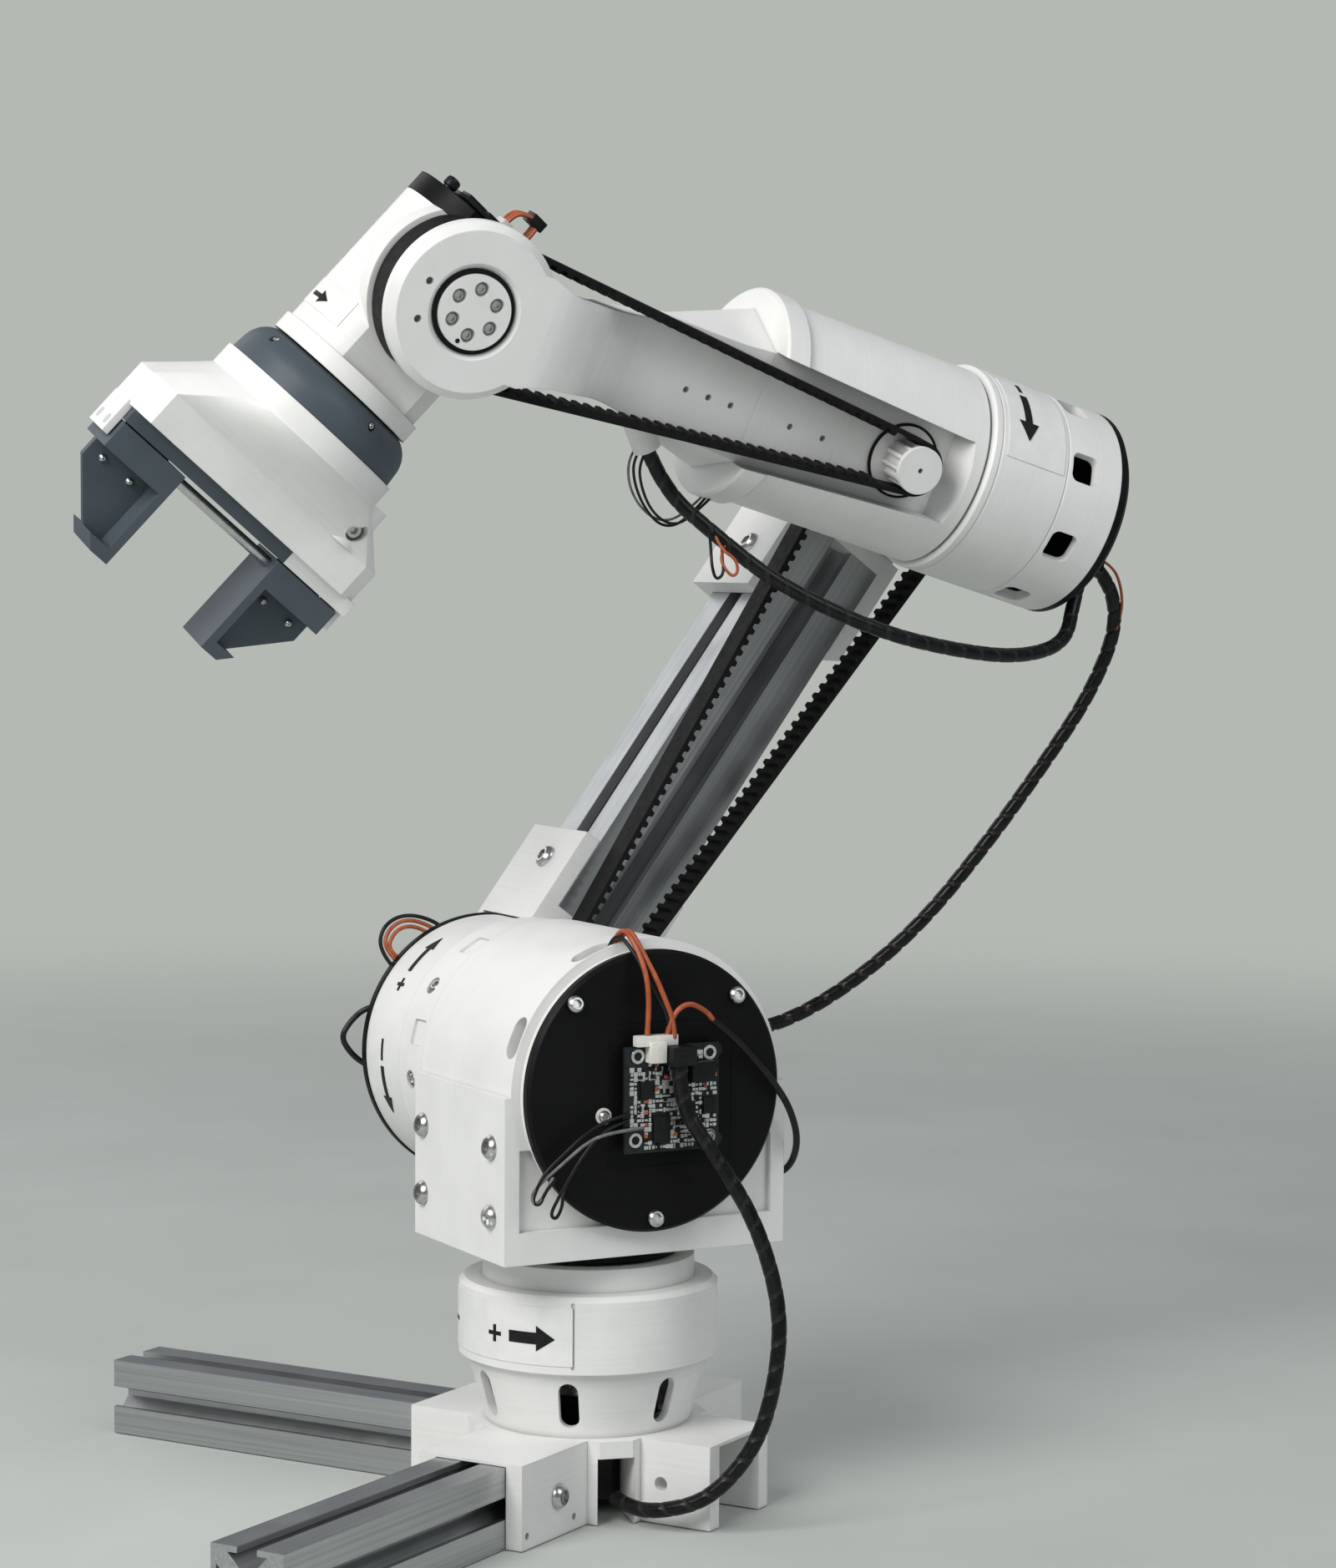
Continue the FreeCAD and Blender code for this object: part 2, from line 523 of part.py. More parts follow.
for number in range(int(dim.cone_slots)):
    turn = Rotation(axisZ, dim.cone_slot_turn + number * 360.0 / dim.cone_slots) * alongX
    slotTools.append(slotTool("cone_slot_%d" % number, dim.cone_slot_height, dim.cone_slot_width,
                              dim.cone_slot_width / 2, "yaw_neck + 4", "collar_radius + 1",
                              Placement(Vector(0, 0, slotMiddle), turn)))
subPart("yaw_housing", cut("yaw_housing_cut", housingShell, slotTools), baseFrame)

yawMotorTop = "yaw_motor_floor + motor_length"
subPart("yaw_motor", motor("yaw_motor", "XY_Plane", (0, 0), "yaw_motor_floor", yawMotorTop,
                           yawMotorTop + " + 4", dim.motor_side), baseFrame)
gearboxTop = yawMotorTop + " + gearbox_length"
yawGearbox = cylinder("yaw_gearbox_can", "yaw_neck - 0.5", "gearbox_length", ("0", "0", yawMotorTop))
yawGearPort = cylinder("yaw_gearbox_port", "shaft_radius", "5", ("0", "0", yawMotorTop + " - 1"))
subPart("yaw_gearbox", cut("yaw_gearbox_cut", yawGearbox, [yawGearPort]), baseFrame)
capInner = "yaw_neck"
capDisc = cylinder("bearing_cap_disc", "bearing_cap_radius", "bearing_cap_top - collar_top",
                   ("0", "0", "collar_top"))
capBore = cylinder("bearing_cap_bore", capInner, "bearing_cap_top", ("0", "0", "0"))
subPart("yaw_bearing_cap", cut("bearing_cap", capDisc, [capBore]), baseFrame)
yawBearing = pad("yaw_bearing_ring", "XY_Plane", [circle(0, 0, dim.yaw_neck + dim.yaw_bearing_wall),
                                                  circle(0, 0, dim.yaw_neck)],
                 "collar_top - yaw_bearing_height", "collar_top")
subPart("yaw_bearing", yawBearing, baseFrame)

# Shoulder: turntable, block and what it holds.
tableDisc = cylinder("table_disc", "turntable_radius", "block_bottom - bearing_cap_top - turntable_gap",
                     ("0", "0", "bearing_cap_top + turntable_gap"))
tableNeck = cylinder("table_neck", capInner + " - running_gap", "block_bottom - (%s) - 1" % gearboxTop,
                     ("0", "0", gearboxTop + " + 0.3"))
subPart("turntable", fuse("turntable_solid", [tableDisc, tableNeck]), shoulderFrame)

blockBox = box("block_box", ("-block_half", "block_half"), ("-block_far", "block_near"),
               ("block_bottom", "pitch_height"))
blockDrum = cylinder("block_drum", "drum_radius", "block_near + block_far",
                     ("0", "-block_far", "pitch_height"), alongY)
blockRim = cylinder("block_rim", "cover_radius", "cover_face - cover_thickness - block_near",
                    ("0", "block_near", "pitch_height"), alongY)
blockTools = [
    cylinder("block_bore", "drum_bore", "block_near + block_far - block_back_wall + 20",
             ("0", "-block_far + block_back_wall", "pitch_height"), alongY),
    cylinder("block_output_bore", "gearbox_bore", "block_back_wall + 2",
             ("0", "-block_far - 1", "pitch_height"), alongY),
    box("front_recess_low", ("-block_half + block_wall", "block_half - block_wall"),
        ("block_near - front_recess", "block_near + 1"), ("block_bottom + block_wall * 2",
                                                          "pitch_height - drum_radius * 0.35")),
]
for number in range(4):
    angle = dim.vent_turn + 45 * number
    blockTools.append(slotTool("block_vent_%d" % number, dim.vent_length, dim.vent_width,
                               dim.vent_width / 2,
                               "drum_bore - 4", "drum_radius + 2",
                               Placement(Vector(0, dim.vent_y, dim.pitch_height), outwards(angle))))
faceBolts = []
faceHoles = []
for face, sign, turn in (("front", 1, alongX * flip), ("rear", -1, alongX)):
    for level in ("low", "high"):
        for edge, y in (("near", "face_bolt_near"), ("far", "-face_bolt_far")):
            name = "face_bolt_%s_%s_%s" % (face, level, edge)
            at = ("block_half" if sign > 0 else "-block_half", y, "face_bolt_" + level)
            faceBolts.append(buttonBolt(name, at, turn, "block_wall"))
            faceHoles.append(cylinder(name + "_way", "bolt_shank / 2 + running_gap", "block_wall + 0.2", at,
                                      turn))
subPart("shoulder_block", cut("shoulder_cut", fuse("shoulder_solid", [blockBox, blockDrum, blockRim]),
                              blockTools + faceHoles),
        shoulderFrame)

coverPlate = cylinder("cover_plate", "cover_radius", "cover_thickness - cover_bevel",
                      ("0", "cover_face - cover_thickness", "pitch_height"), alongY)
coverRim = cone("cover_rim", "cover_radius", "cover_radius - cover_bevel", "cover_bevel",
                ("0", "cover_face - cover_bevel", "pitch_height"), alongY)
coverDisc = fuse("cover_disc", [coverPlate, coverRim])
coverHoles = []
coverScrews = []
for number, angle in enumerate((45, 135, 270)):
    x = "cover_screw_circle * %.6f" % math.cos(math.radians(angle))
    z = "pitch_height + cover_screw_circle * %.6f" % math.sin(math.radians(angle))
    coverHoles.append(cylinder("cover_hole_%d" % number, "cover_screw / 2 + running_gap",
                               "cover_thickness + 2",
                               (x, "cover_face - cover_thickness - 1", z), alongY))
    shank = cylinder("cover_shank_%d" % number, "cover_screw / 2", "cover_thickness",
                     (x, "cover_face - cover_thickness", z), alongY)
    head = cylinder("cover_head_%d" % number, "screw_head / 2", "screw_head_height", (x, "cover_face", z),
                    alongY)
    coverScrews.append(fuse("cover_screw_%d" % number, [shank, head]))
subPart("shoulder_cover", cut("shoulder_cover_cut", coverDisc, coverHoles), shoulderFrame)
subPart("shoulder_screws", group("shoulder_screw_group", faceBolts + coverScrews), shoulderFrame)

boardLow = ("-board_x - board_width / 2", "pitch_height - board_z - board_height / 2")
boardHigh = ("-board_x + board_width / 2", "pitch_height - board_z + board_height / 2")
boardPlate = box("board_plate", (boardLow[0], boardHigh[0]),
                 ("cover_face + standoff_height", "cover_face + standoff_height + board_thickness"),
                 (boardLow[1], boardHigh[1]))
boardFace = "(cover_face + standoff_height + board_thickness)"
connector = box("board_connector", ("-board_x", "-board_x + connector_width"),
                (boardFace, boardFace + " + connector_depth"),
                (boardHigh[1] + " - connector_height", boardHigh[1]))
subPart("driver_board", fuse("driver_board_solid", [boardPlate, connector]), shoulderFrame)
standoffs = []
for number, (x, z) in enumerate(((boardLow[0] + " + board_hole_inset", boardLow[1] + " + board_hole_inset"),
                                 (boardHigh[0] + " - board_hole_inset",
                                  boardLow[1] + " + board_hole_inset"),
                                 (boardLow[0] + " + board_hole_inset",
                                  boardHigh[1] + " - board_hole_inset"),
                                 (boardHigh[0] + " - board_hole_inset",
                                  boardHigh[1] + " - board_hole_inset"))):
    standoffs.append(cylinder("standoff_%d" % number, "standoff_radius", "standoff_height",
                              (x, "cover_face", z), alongY))
subPart("board_standoffs", group("standoff_group", standoffs), shoulderFrame)

gearFace = "(-block_far + gearbox_length)"
pitchMotor = motor("pitch_motor", "XZ_Plane", (0, dim.pitch_height), gearFace, gearFace + " + motor_length",
                   gearFace + " + motor_length + 1", dim.motor_side)
subPart("pitch_motor", pitchMotor, shoulderFrame)
pitchGearbox = cylinder("pitch_gearbox_can", "pitch_gearbox_radius", "gearbox_length",
                        ("0", "-block_far", "pitch_height"),
                        alongY)
subPart("pitch_gearbox", pitchGearbox, shoulderFrame)

# Upper arm: root housing, belt ring, profile and brackets. The arm runs along its own Z.
rootShell = ringAlongY("root_shell", 0, 0, dim.root_radius, dim.root_radius - dim.root_wall, "-root_far",
                       "-root_near")
rootPlate = ringAlongY("root_plate", 0, 0, dim.root_radius, dim.root_plate_bore, "-root_near - root_plate",
                       "-root_near")
subPart("root_housing", fuse("root_solid", [rootShell, rootPlate]), armFrame)
subPart("root_cover", cylinder("root_cover_disc", "root_radius + root_cover_lip", "root_cover_thickness",
                               ("0", "-root_far - root_cover_thickness", "0"), alongY), armFrame)
ringShell = ringAlongY("ring_shell", 0, 0, dim.ring_radius, dim.ring_radius - dim.ring_wall, "-root_near",
                       "-ring_near")
ringPlate = cylinder("ring_plate", "ring_radius - 1", "ring_plate", ("0", "-ring_near - ring_plate", "0"),
                     alongY)
windowHalf = "(ring_radius * 0.42)"
ringTools = [box("belt_window", ("-" + windowHalf, windowHalf), ("-root_near - 1",
                                                                 "-belt_y + belt_width / 2 + 1.5"),
                 ("10", "ring_radius + 5"))]
ringBolts = []
pocketFloor = "ring_radius - ring_pocket"


def radial(name, radius, low, high, place):
    rod = pad(name, "XY_Plane", [circle(0, 0, radius)], low, high)
    rod.Placement = place
    return rod


for number in range(int(dim.ring_bolts)):
    place = Placement(Vector(0, -dim.ring_bolt_y, 0),
                      outwards(dim.ring_bolt_turn - number * dim.ring_bolt_step))
    ringTools.append(radial("ring_pocket_%d" % number, dim.ring_pocket, pocketFloor, "ring_radius + 1",
                            place))
    ringTools.append(radial("ring_way_%d" % number, dim.cover_screw / 2 + dim.running_gap,
                            "ring_radius - ring_wall - 1", pocketFloor + " + 0.1", place))
    shank = radial("ring_shank_%d" % number, dim.cover_screw / 2, "ring_radius - ring_wall", pocketFloor,
                   place)
    head = radial("ring_head_%d" % number, dim.screw_head / 2, pocketFloor,
                  pocketFloor + " + ring_head_height", place)
    ringBolts.append(fuse("ring_bolt_%d" % number, [shank, head]))
for number, angle in enumerate((-22, 21.6)):
    ringTools.append(slotTool("ring_panel_%d" % number, dim.ring_panel, dim.ring_panel, 1.0,
                              "ring_radius - ring_panel_depth", "ring_radius + 2",
                              Placement(Vector(0, -dim.ring_panel_y, 0), outwards(angle))))
subPart("belt_ring", cut("belt_ring_cut", fuse("belt_ring_solid", [ringShell, ringPlate]), ringTools),
        armFrame)
subPart("ring_bolts", group("ring_bolt_group", ringBolts), armFrame)

armSizes = (dim.arm_profile, dim.arm_slot, dim.arm_lip, dim.arm_cavity, dim.arm_depth, dim.arm_core)
subPart("arm_profile", slottedProfile("arm_profile_pad", "XY_Plane", *armSizes, "arm_start", "arm_end",
                                      (0, -dim.arm_y)), armFrame)
seatHalf = "(arm_profile / 2 + bracket_gap)"
outHalf = "(arm_profile / 2 + bracket_gap + bracket_wall)"
farSeat = "(-arm_y - arm_profile / 2 - bracket_gap)"
farOut = "(-arm_y - arm_profile / 2 - bracket_gap - bracket_wall)"
nearOut = "(-arm_y + arm_profile / 2)"
rootSaddle = cylinder("root_saddle", "root_radius + root_cover_lip + running_gap",
                      "root_far + root_cover_thickness - root_near + 20",
                      ("0", "-root_far - root_cover_thickness - 10", "0"), alongY)
lowerBlock = box("lower_bracket_block", ("-" + outHalf, outHalf), (farOut, nearOut),
                 ("root_radius * 0.72", "bracket_top"))
lowerSeat = box("lower_seat", ("-" + seatHalf, seatHalf), (farSeat, nearOut + " + 1"),
                ("arm_start", "bracket_top + 1"))
upperBlock = box("upper_bracket_block", ("-" + outHalf, outHalf), (farOut, nearOut),
                 ("elbow_bracket_bottom", "arm_end + 8"))
upperSeat = box("upper_seat", ("-" + seatHalf, seatHalf), (farSeat, nearOut + " + 1"),
                ("elbow_bracket_bottom - 1", "arm_end"))
elbowBoss = cylinder("elbow_boss", "elbow_boss_radius", "elbow_far - elbow_near",
                     ("0", "-elbow_far", "arm_length"), alongY)
elbowWeb = box("elbow_web", ("-elbow_boss_radius", "elbow_boss_radius"), ("-elbow_far", "-elbow_near"),
               ("arm_end", "arm_length"))
elbowBore = cylinder("elbow_bore", "elbow_bearing_radius", "elbow_far + 10",
                     ("0", "-elbow_far - 5", "arm_length"), alongY)
bracketBolts = []
bracketNuts = []
boltWays = {"lower": [], "upper": []}
for end in ("lower", "upper"):
    for face, sign, turn in (("front", 1, alongX * flip), ("rear", -1, alongX)):
        name = "bracket_bolt_%s_%s" % (end, face)
        at = (outHalf if sign > 0 else "-" + outHalf, "-arm_y", end + "_bolt")
        bolt = buttonBolt(name, at, turn, "bracket_wall + bracket_gap + arm_lip + bracket_nut_height")
        bracketBolts.append(bolt)
        boltWays[end].append(cylinder(name + "_way", "bolt_shank / 2 + running_gap", "bracket_wall + 1", at,
                                      turn))
        nutFloor = "(arm_profile / 2 - arm_lip - bracket_nut_height)"
        nutRoof = "(arm_profile / 2 - arm_lip)"
        nutSpan = (nutFloor, nutRoof) if sign > 0 else ("-" + nutRoof, "-" + nutFloor)
        nut = box(name + "_nut", nutSpan, around("-arm_y", "bracket_nut_side"),
                  around(end + "_bolt", "bracket_nut_side"))
        bracketNuts.append(cut(name + "_nut_cut", nut, [bolt]))
subPart("lower_bracket", cut("lower_bracket_cut", lowerBlock, [lowerSeat, rootSaddle] + boltWays["lower"]),
        armFrame)
subPart("elbow_bracket", cut("elbow_bracket_cut", fuse("elbow_bracket_solid",
                                                       [upperBlock, elbowBoss, elbowWeb]),
                             [upperSeat, elbowBore] + boltWays["upper"]), armFrame)
subPart("bracket_bolts", group("bracket_bolt_group", bracketBolts), armFrame)
subPart("bracket_nuts", group("bracket_nut_group", bracketNuts), armFrame)

bearings = []
for end, low in (("far", "-elbow_far"), ("near", "-elbow_near - elbow_bearing_width")):
    bearings.append(ringAlongY("elbow_bearing_" + end, 0, dim.arm_length, dim.elbow_bearing_radius,
                               dim.axle_radius + dim.running_gap, low, low + " + elbow_bearing_width"))
subPart("elbow_bearings", group("elbow_bearing_group", bearings), armFrame)
elbowMotorFar = "(-root_near - root_plate - elbow_motor_length)"
elbowMotor = motor("elbow_motor", "XZ_Plane", (0, 0), elbowMotorFar, "-root_near - root_plate",
                   "-belt_y + belt_width / 2 + 1", dim.motor_side)
subPart("elbow_motor", elbowMotor, armFrame)

beltLow = "(-belt_y - belt_width / 2)"
beltHigh = "(-belt_y + belt_width / 2)"
subPart("elbow_belt", pad("elbow_belt_pad", "XZ_Plane", beltLoops(dim.drive_teeth, dim.elbow_teeth,
                                                                  dim.arm_length,
                                                                  lambda a, b: (-b, a)), beltLow, beltHigh),
        armFrame)
driveBore = dim.shaft_radius + dim.running_gap
subPart("elbow_drive_pulley", pad("elbow_drive_pad", "XZ_Plane", [pulleyLoop(dim.drive_teeth, 0, 0),
                                                                  circle(0, 0, driveBore)],
                                  beltLow + " - 0.8", beltHigh + " + 0.8"), armFrame)

# Forearm base: elbow pulley, axle and roll housing. The forearm runs along its own X.
subPart("elbow_pulley", pad("elbow_pulley_pad", "XZ_Plane", [pulleyLoop(dim.elbow_teeth, 0, 0),
                                                             circle(0, 0, dim.axle_radius)],
                            beltLow + " - 0.5", "-roll_radius - elbow_plate_thickness"), elbowFrame)
subPart("elbow_axle",
        cylinder("elbow_axle_rod", "axle_radius", "elbow_far - roll_radius - elbow_plate_thickness",
                               ("0", "-elbow_far", "0"), alongY), elbowFrame)
rollInner = dim.roll_radius - dim.roll_wall
rollEnd = dim.roll_lead - dim.roll_length
seam = dim.seam_depth
lipX = dim.roll_lead - dim.roll_lip
rollShell = revolve("roll_shell", [outline(
    (rollEnd, rollInner), (rollEnd, dim.roll_radius), (-dim.roll_groove - seam, dim.roll_radius),
    (-dim.roll_groove, dim.roll_radius - seam), (-dim.roll_groove + seam, dim.roll_radius),
    (lipX - seam, dim.roll_radius), (lipX, dim.roll_radius - seam), (lipX + seam, dim.roll_radius),
    (dim.roll_lead - 2 * seam, dim.roll_radius), (dim.roll_lead, dim.roll_radius - 2 * seam),
    (dim.roll_lead, dim.roll_hub_radius), (dim.roll_lead - dim.roll_front, dim.roll_hub_radius),
    (dim.roll_lead - dim.roll_front, rollInner))], "H_Axis")
elbowFace = "(-roll_radius - elbow_plate_thickness)"
elbowPlate = cylinder("elbow_plate", "elbow_plate_radius", "elbow_plate_thickness", ("0", elbowFace, "0"),
                      alongY)
elbowPad = box("elbow_pad", ("roll_lead - roll_length + elbow_pad_depth", "roll_lead - 2 * seam_depth"),
               ("-roll_radius - elbow_pad_rise", "-roll_radius + elbow_pad_depth"),
               ("-elbow_pad_half", "elbow_pad_half"))
elbowRoom = cylinder("elbow_room", "roll_radius - roll_wall", "roll_length - roll_front",
                     ("roll_lead - roll_length", "0", "0"), alongX)
rollTools = [elbowRoom]
for number in range(int(dim.rear_vents)):
    # the two vents that would open into the elbow's pad are left out
    if number in (1, 2):
        continue
    turn = Rotation(axisX, dim.rear_vent_turn + number * 360.0 / dim.rear_vents)
    rollTools.append(slotTool("rear_vent_%d" % number, dim.vent_square, dim.vent_square, dim.vent_round,
                              "roll_radius - roll_wall - 3", "roll_radius + 1",
                              Placement(Vector(-dim.vent_x, 0, 0), turn)))
subPart("roll_housing", cut("roll_cut", fuse("roll_solid", [rollShell, elbowPad, elbowPlate]), rollTools),
        elbowFrame)
coverBack = rollEnd - dim.roll_cover_depth
rollCover = revolve("roll_cover_turn", [outline(
    (rollEnd, 0), (rollEnd, dim.roll_radius), (coverBack + dim.roll_cover_round, dim.roll_radius),
    (coverBack, dim.roll_radius - dim.roll_cover_round), (coverBack, 0))], "H_Axis")
subPart("roll_cover", rollCover, elbowFrame)
rollBack = "(roll_lead - roll_length - roll_cover_depth)"
rollGland = cylinder("roll_gland", "gland_radius", "roll_gland_length",
                     (rollBack + " - roll_gland_length", "-roll_gland_y", "-roll_gland_z"), alongX)
rollPlug = box("roll_plug", (rollBack + " - roll_plug_length", rollBack),
               ("roll_plug_far", "roll_plug_near"),
               ("-roll_plug_low", "-roll_plug_high"))
subPart("roll_glands", group("roll_gland_group", [rollGland, rollPlug]), elbowFrame)
rollMotor = motor("roll_motor", "YZ_Plane", (0, 0), "roll_lead - roll_front - motor_length",
                  "roll_lead - roll_front",
                  "roll_lead - tube_gap", dim.motor_side)
subPart("roll_motor", rollMotor, elbowFrame)

# Forearm: tube with its belt pocket, yoke, wrist motor, pulley and belt.
tubeStart = dim.roll_lead + dim.tube_gap
tubeOuter = revolve("tube_outer", [outline(
    (tubeStart, 0), (tubeStart, dim.tube_radius - 2 * seam), (tubeStart + 2 * seam, dim.tube_radius),
    (dim.tube_front - 4 * seam, dim.tube_radius), (dim.tube_front, dim.flange_radius),
    (dim.flange_end - 2 * seam, dim.flange_radius), (dim.flange_end, dim.flange_radius - 2 * seam),
    (dim.flange_end, 0))], "H_Axis")
tubeBore = cylinder("tube_bore", "tube_radius - tube_wall",
                    "tube_front - roll_lead - tube_gap - tube_back - tube_nose",
                    ("roll_lead + tube_gap + tube_back", "0", "0"), alongX)
tubeSide = box("tube_side", ("0", "tube_front"), ("-tube_radius", "pocket_floor - pocket_plate"),
               ("-tube_radius", "tube_radius"))
tubeHollow = doc.addObject("Part::Common", "tube_hollow")
tubeHollow.Base = tubeBore
tubeHollow.Tool = tubeSide
pocketShape = pad("pocket_shape", "XZ_Plane", [outline(
    (dim.pocket_rear, -dim.pocket_rear_half), (dim.flange_end + 1, -dim.pocket_front_half),
    (dim.flange_end + 1, dim.pocket_front_half), (dim.pocket_rear, dim.pocket_rear_half))],
    "pocket_floor", "flange_radius + 1")
pocketRamp = pad("pocket_ramp", "XY_Plane", [outline(
    (dim.pocket_rear + 1, dim.pocket_floor), (dim.pocket_rear + 1, dim.flange_radius + 1),
    (dim.pocket_rear - dim.pocket_slope, dim.flange_radius + 1), (dim.pocket_rear, dim.pocket_floor))],
    "-pocket_rear_half", "pocket_rear_half")
tubeTools = [tubeHollow, pocketShape, pocketRamp,
             cylinder("tube_shaft_way", "shaft_radius + 1.5", "10", ("drive_x", "pocket_floor - 6", "0"),
                      alongY)]
for number, x in enumerate((82, 97)):
    tubeTools.append(cylinder("floor_hole_%d" % number, "floor_hole", "pocket_plate",
                              (x, "pocket_floor - pocket_plate + 1",
                                                                                     "-floor_hole_z"),
                              alongY))
for number, (y, z) in enumerate(((-29, 21), (-20, -30))):
    tubeTools.append(cylinder("face_hole_%d" % number, "face_hole", "face_hole_depth + 1",
                              ("flange_end - face_hole_depth", y, z), alongX))
hubBack = "(roll_lead - roll_front + hub_gap)"
rollHub = cylinder("roll_hub", "roll_hub_radius - running_gap", "roll_front - hub_gap + tube_gap + 1",
                   (hubBack, "0", "0"),
                   alongX)
tubeTools.append(cylinder("roll_hub_way", "shaft_radius + running_gap", "roll_front",
                          (hubBack + " - 0.1", "0", "0"), alongX))
subPart("forearm_tube", cut("tube_cut", fuse("tube_solid", [tubeOuter, rollHub]), tubeTools), forearmFrame)


def easeBetween(start, end):
    # Two arcs that leave and arrive along X.
    middle = ((start[0] + end[0]) / 2, (start[1] + end[1]) / 2)
    run, rise = middle[0] - start[0], middle[1] - start[1]
    radius = (run ** 2 + rise ** 2) / (2 * abs(rise))
    half = math.asin(abs(run) / radius) / 2
    ahead = math.copysign(radius * math.sin(half), run)
    aside = math.copysign(radius * (1 - math.cos(half)), rise)
    return [((start[0] + ahead, start[1] + aside), middle), ((end[0] - ahead, end[1] - aside), end)]


backStart = (dim.yoke_bend_start - dim.yoke_ease / 2, dim.yoke_back)
backEnd = (dim.yoke_bend_end + 1.5 * dim.yoke_ease, dim.yoke_disc_back)
nearStart = (dim.yoke_bend_start - dim.yoke_ease, dim.pocket_floor)
nearEnd = (dim.yoke_bend_end + dim.yoke_ease, dim.yoke_disc_face)
yokeStrip = pad("yoke_strip", "XY_Plane", [outline(
    (dim.flange_end, dim.yoke_back), backStart, *easeBetween(backStart, backEnd),
    (dim.wrist_x, dim.yoke_disc_back), (dim.wrist_x, dim.yoke_disc_face), nearEnd,
    *easeBetween(nearEnd, nearStart),
    (dim.flange_end, dim.pocket_floor))], "-yoke_half", "yoke_half")
# the neck's edges sweep in from the root and out again into the disc
neckMiddle = (dim.neck_start + dim.neck_end) / 2
neckWaist = dim.neck_half + (dim.yoke_half - dim.neck_half) * 0.33
flareX = dim.wrist_x - dim.disc_flare_x
flareZ = dim.disc_flare_half
flareStart = flareX - dim.disc_flare_length
flareMiddle = (flareX - dim.disc_flare_length * 0.47, dim.neck_half + (flareZ - dim.neck_half) * 0.32)
yokeTrim = pad("yoke_trim", "XZ_Plane", [outline(
    (dim.flange_end, -dim.yoke_half), (dim.neck_start, -dim.yoke_half),
    ((neckMiddle, -neckWaist), (dim.neck_end, -dim.neck_half)), (flareStart, -dim.neck_half),
    ((flareMiddle[0], -flareMiddle[1]), (flareX, -flareZ)), (dim.wrist_x, -flareZ), (dim.wrist_x, flareZ),
    (flareX, flareZ), (flareMiddle, (flareStart, dim.neck_half)), (dim.neck_end, dim.neck_half),
    ((neckMiddle, neckWaist), (dim.neck_start, dim.yoke_half)), (dim.flange_end, dim.yoke_half))],
    "yoke_back - 1", "yoke_disc_face + 1")
yokeArm = doc.addObject("Part::Common", "yoke_arm_form")
yokeArm.Base = yokeStrip
yokeArm.Tool = yokeTrim
# the root fills the back of the flange and thins towards the neck
near = dim.pocket_floor
rootLoop = outline((near, -dim.root_half), (near, dim.root_half), (dim.root_crown_y, dim.root_crown),
                   (dim.root_back, dim.root_back_half), (dim.root_back, -dim.root_back_half),
                   (dim.root_crown_y, -dim.root_crown))
neckLoop = outline((near, -dim.neck_near_half), (near, dim.neck_near_half),
                   (dim.neck_crown_y, dim.neck_crown),
                   (dim.yoke_back, dim.neck_back_half), (dim.yoke_back, -dim.neck_back_half),
                   (dim.neck_crown_y, -dim.neck_crown))
yokeRoot = doc.addObject("PartDesign::Body", "yoke_root")
rootSketch = sketchOn(yokeRoot, "YZ_Plane", [rootLoop], "flange_end")
neckSketch = sketchOn(yokeRoot, "YZ_Plane", [neckLoop], "yoke_root_end")
rootLoft = yokeRoot.newObject("PartDesign::AdditiveLoft", "yoke_root_loft")
rootLoft.Profile = rootSketch
rootLoft.Sections = [neckSketch]
discFoot = "(yoke_disc_face - disc_bevel)"
yokeDisc = cylinder("yoke_disc", "yoke_disc_radius", discFoot + " - yoke_disc_back",
                    ("wrist_x", "yoke_disc_back", "0"), alongY)
yokeRim = cone("yoke_rim", "yoke_disc_radius", "yoke_disc_radius - disc_bevel", "disc_bevel",
               ("wrist_x", discFoot, "0"), alongY)
yokeTools = [
    cylinder("yoke_bore", "wrist_bore", "yoke_disc_face", ("wrist_x", "yoke_disc_back - 5", "0"), alongY),
    cone("yoke_bore_bevel", "wrist_bore", "wrist_bore + bore_bevel", "bore_bevel",
         ("wrist_x", "yoke_disc_face - bore_bevel", "0"), alongY)]
for number, (x, z) in enumerate(((20.4, 5.2), (19.5, -8.9))):
    yokeTools.append(cylinder("disc_hole_%d" % number, "disc_hole", "disc_bevel + 2",
                              ("wrist_x + %s" % x, "yoke_disc_face - disc_bevel - 1", z), alongY))
for number, x in enumerate((124, 134, 144)):
    yokeTools.append(cylinder("yoke_hole_%d" % number, "floor_hole", "pocket_plate",
                              (x, "pocket_floor - pocket_plate + 1",
                                                                                    "-floor_hole_z"),
                              alongY))
subPart("wrist_bearing", ringAlongY("wrist_bearing_ring", dim.wrist_x, 0, dim.wrist_bore,
                                    dim.wrist_hub_radius + dim.running_gap, "wrist_bearing_low",
                                    "wrist_bearing_high"),
        forearmFrame)
yokeSolid = fuse("yoke_solid", [yokeArm, yokeRoot, yokeDisc, yokeRim])
subPart("yoke_arm", cut("yoke_cut", yokeSolid, yokeTools), forearmFrame)

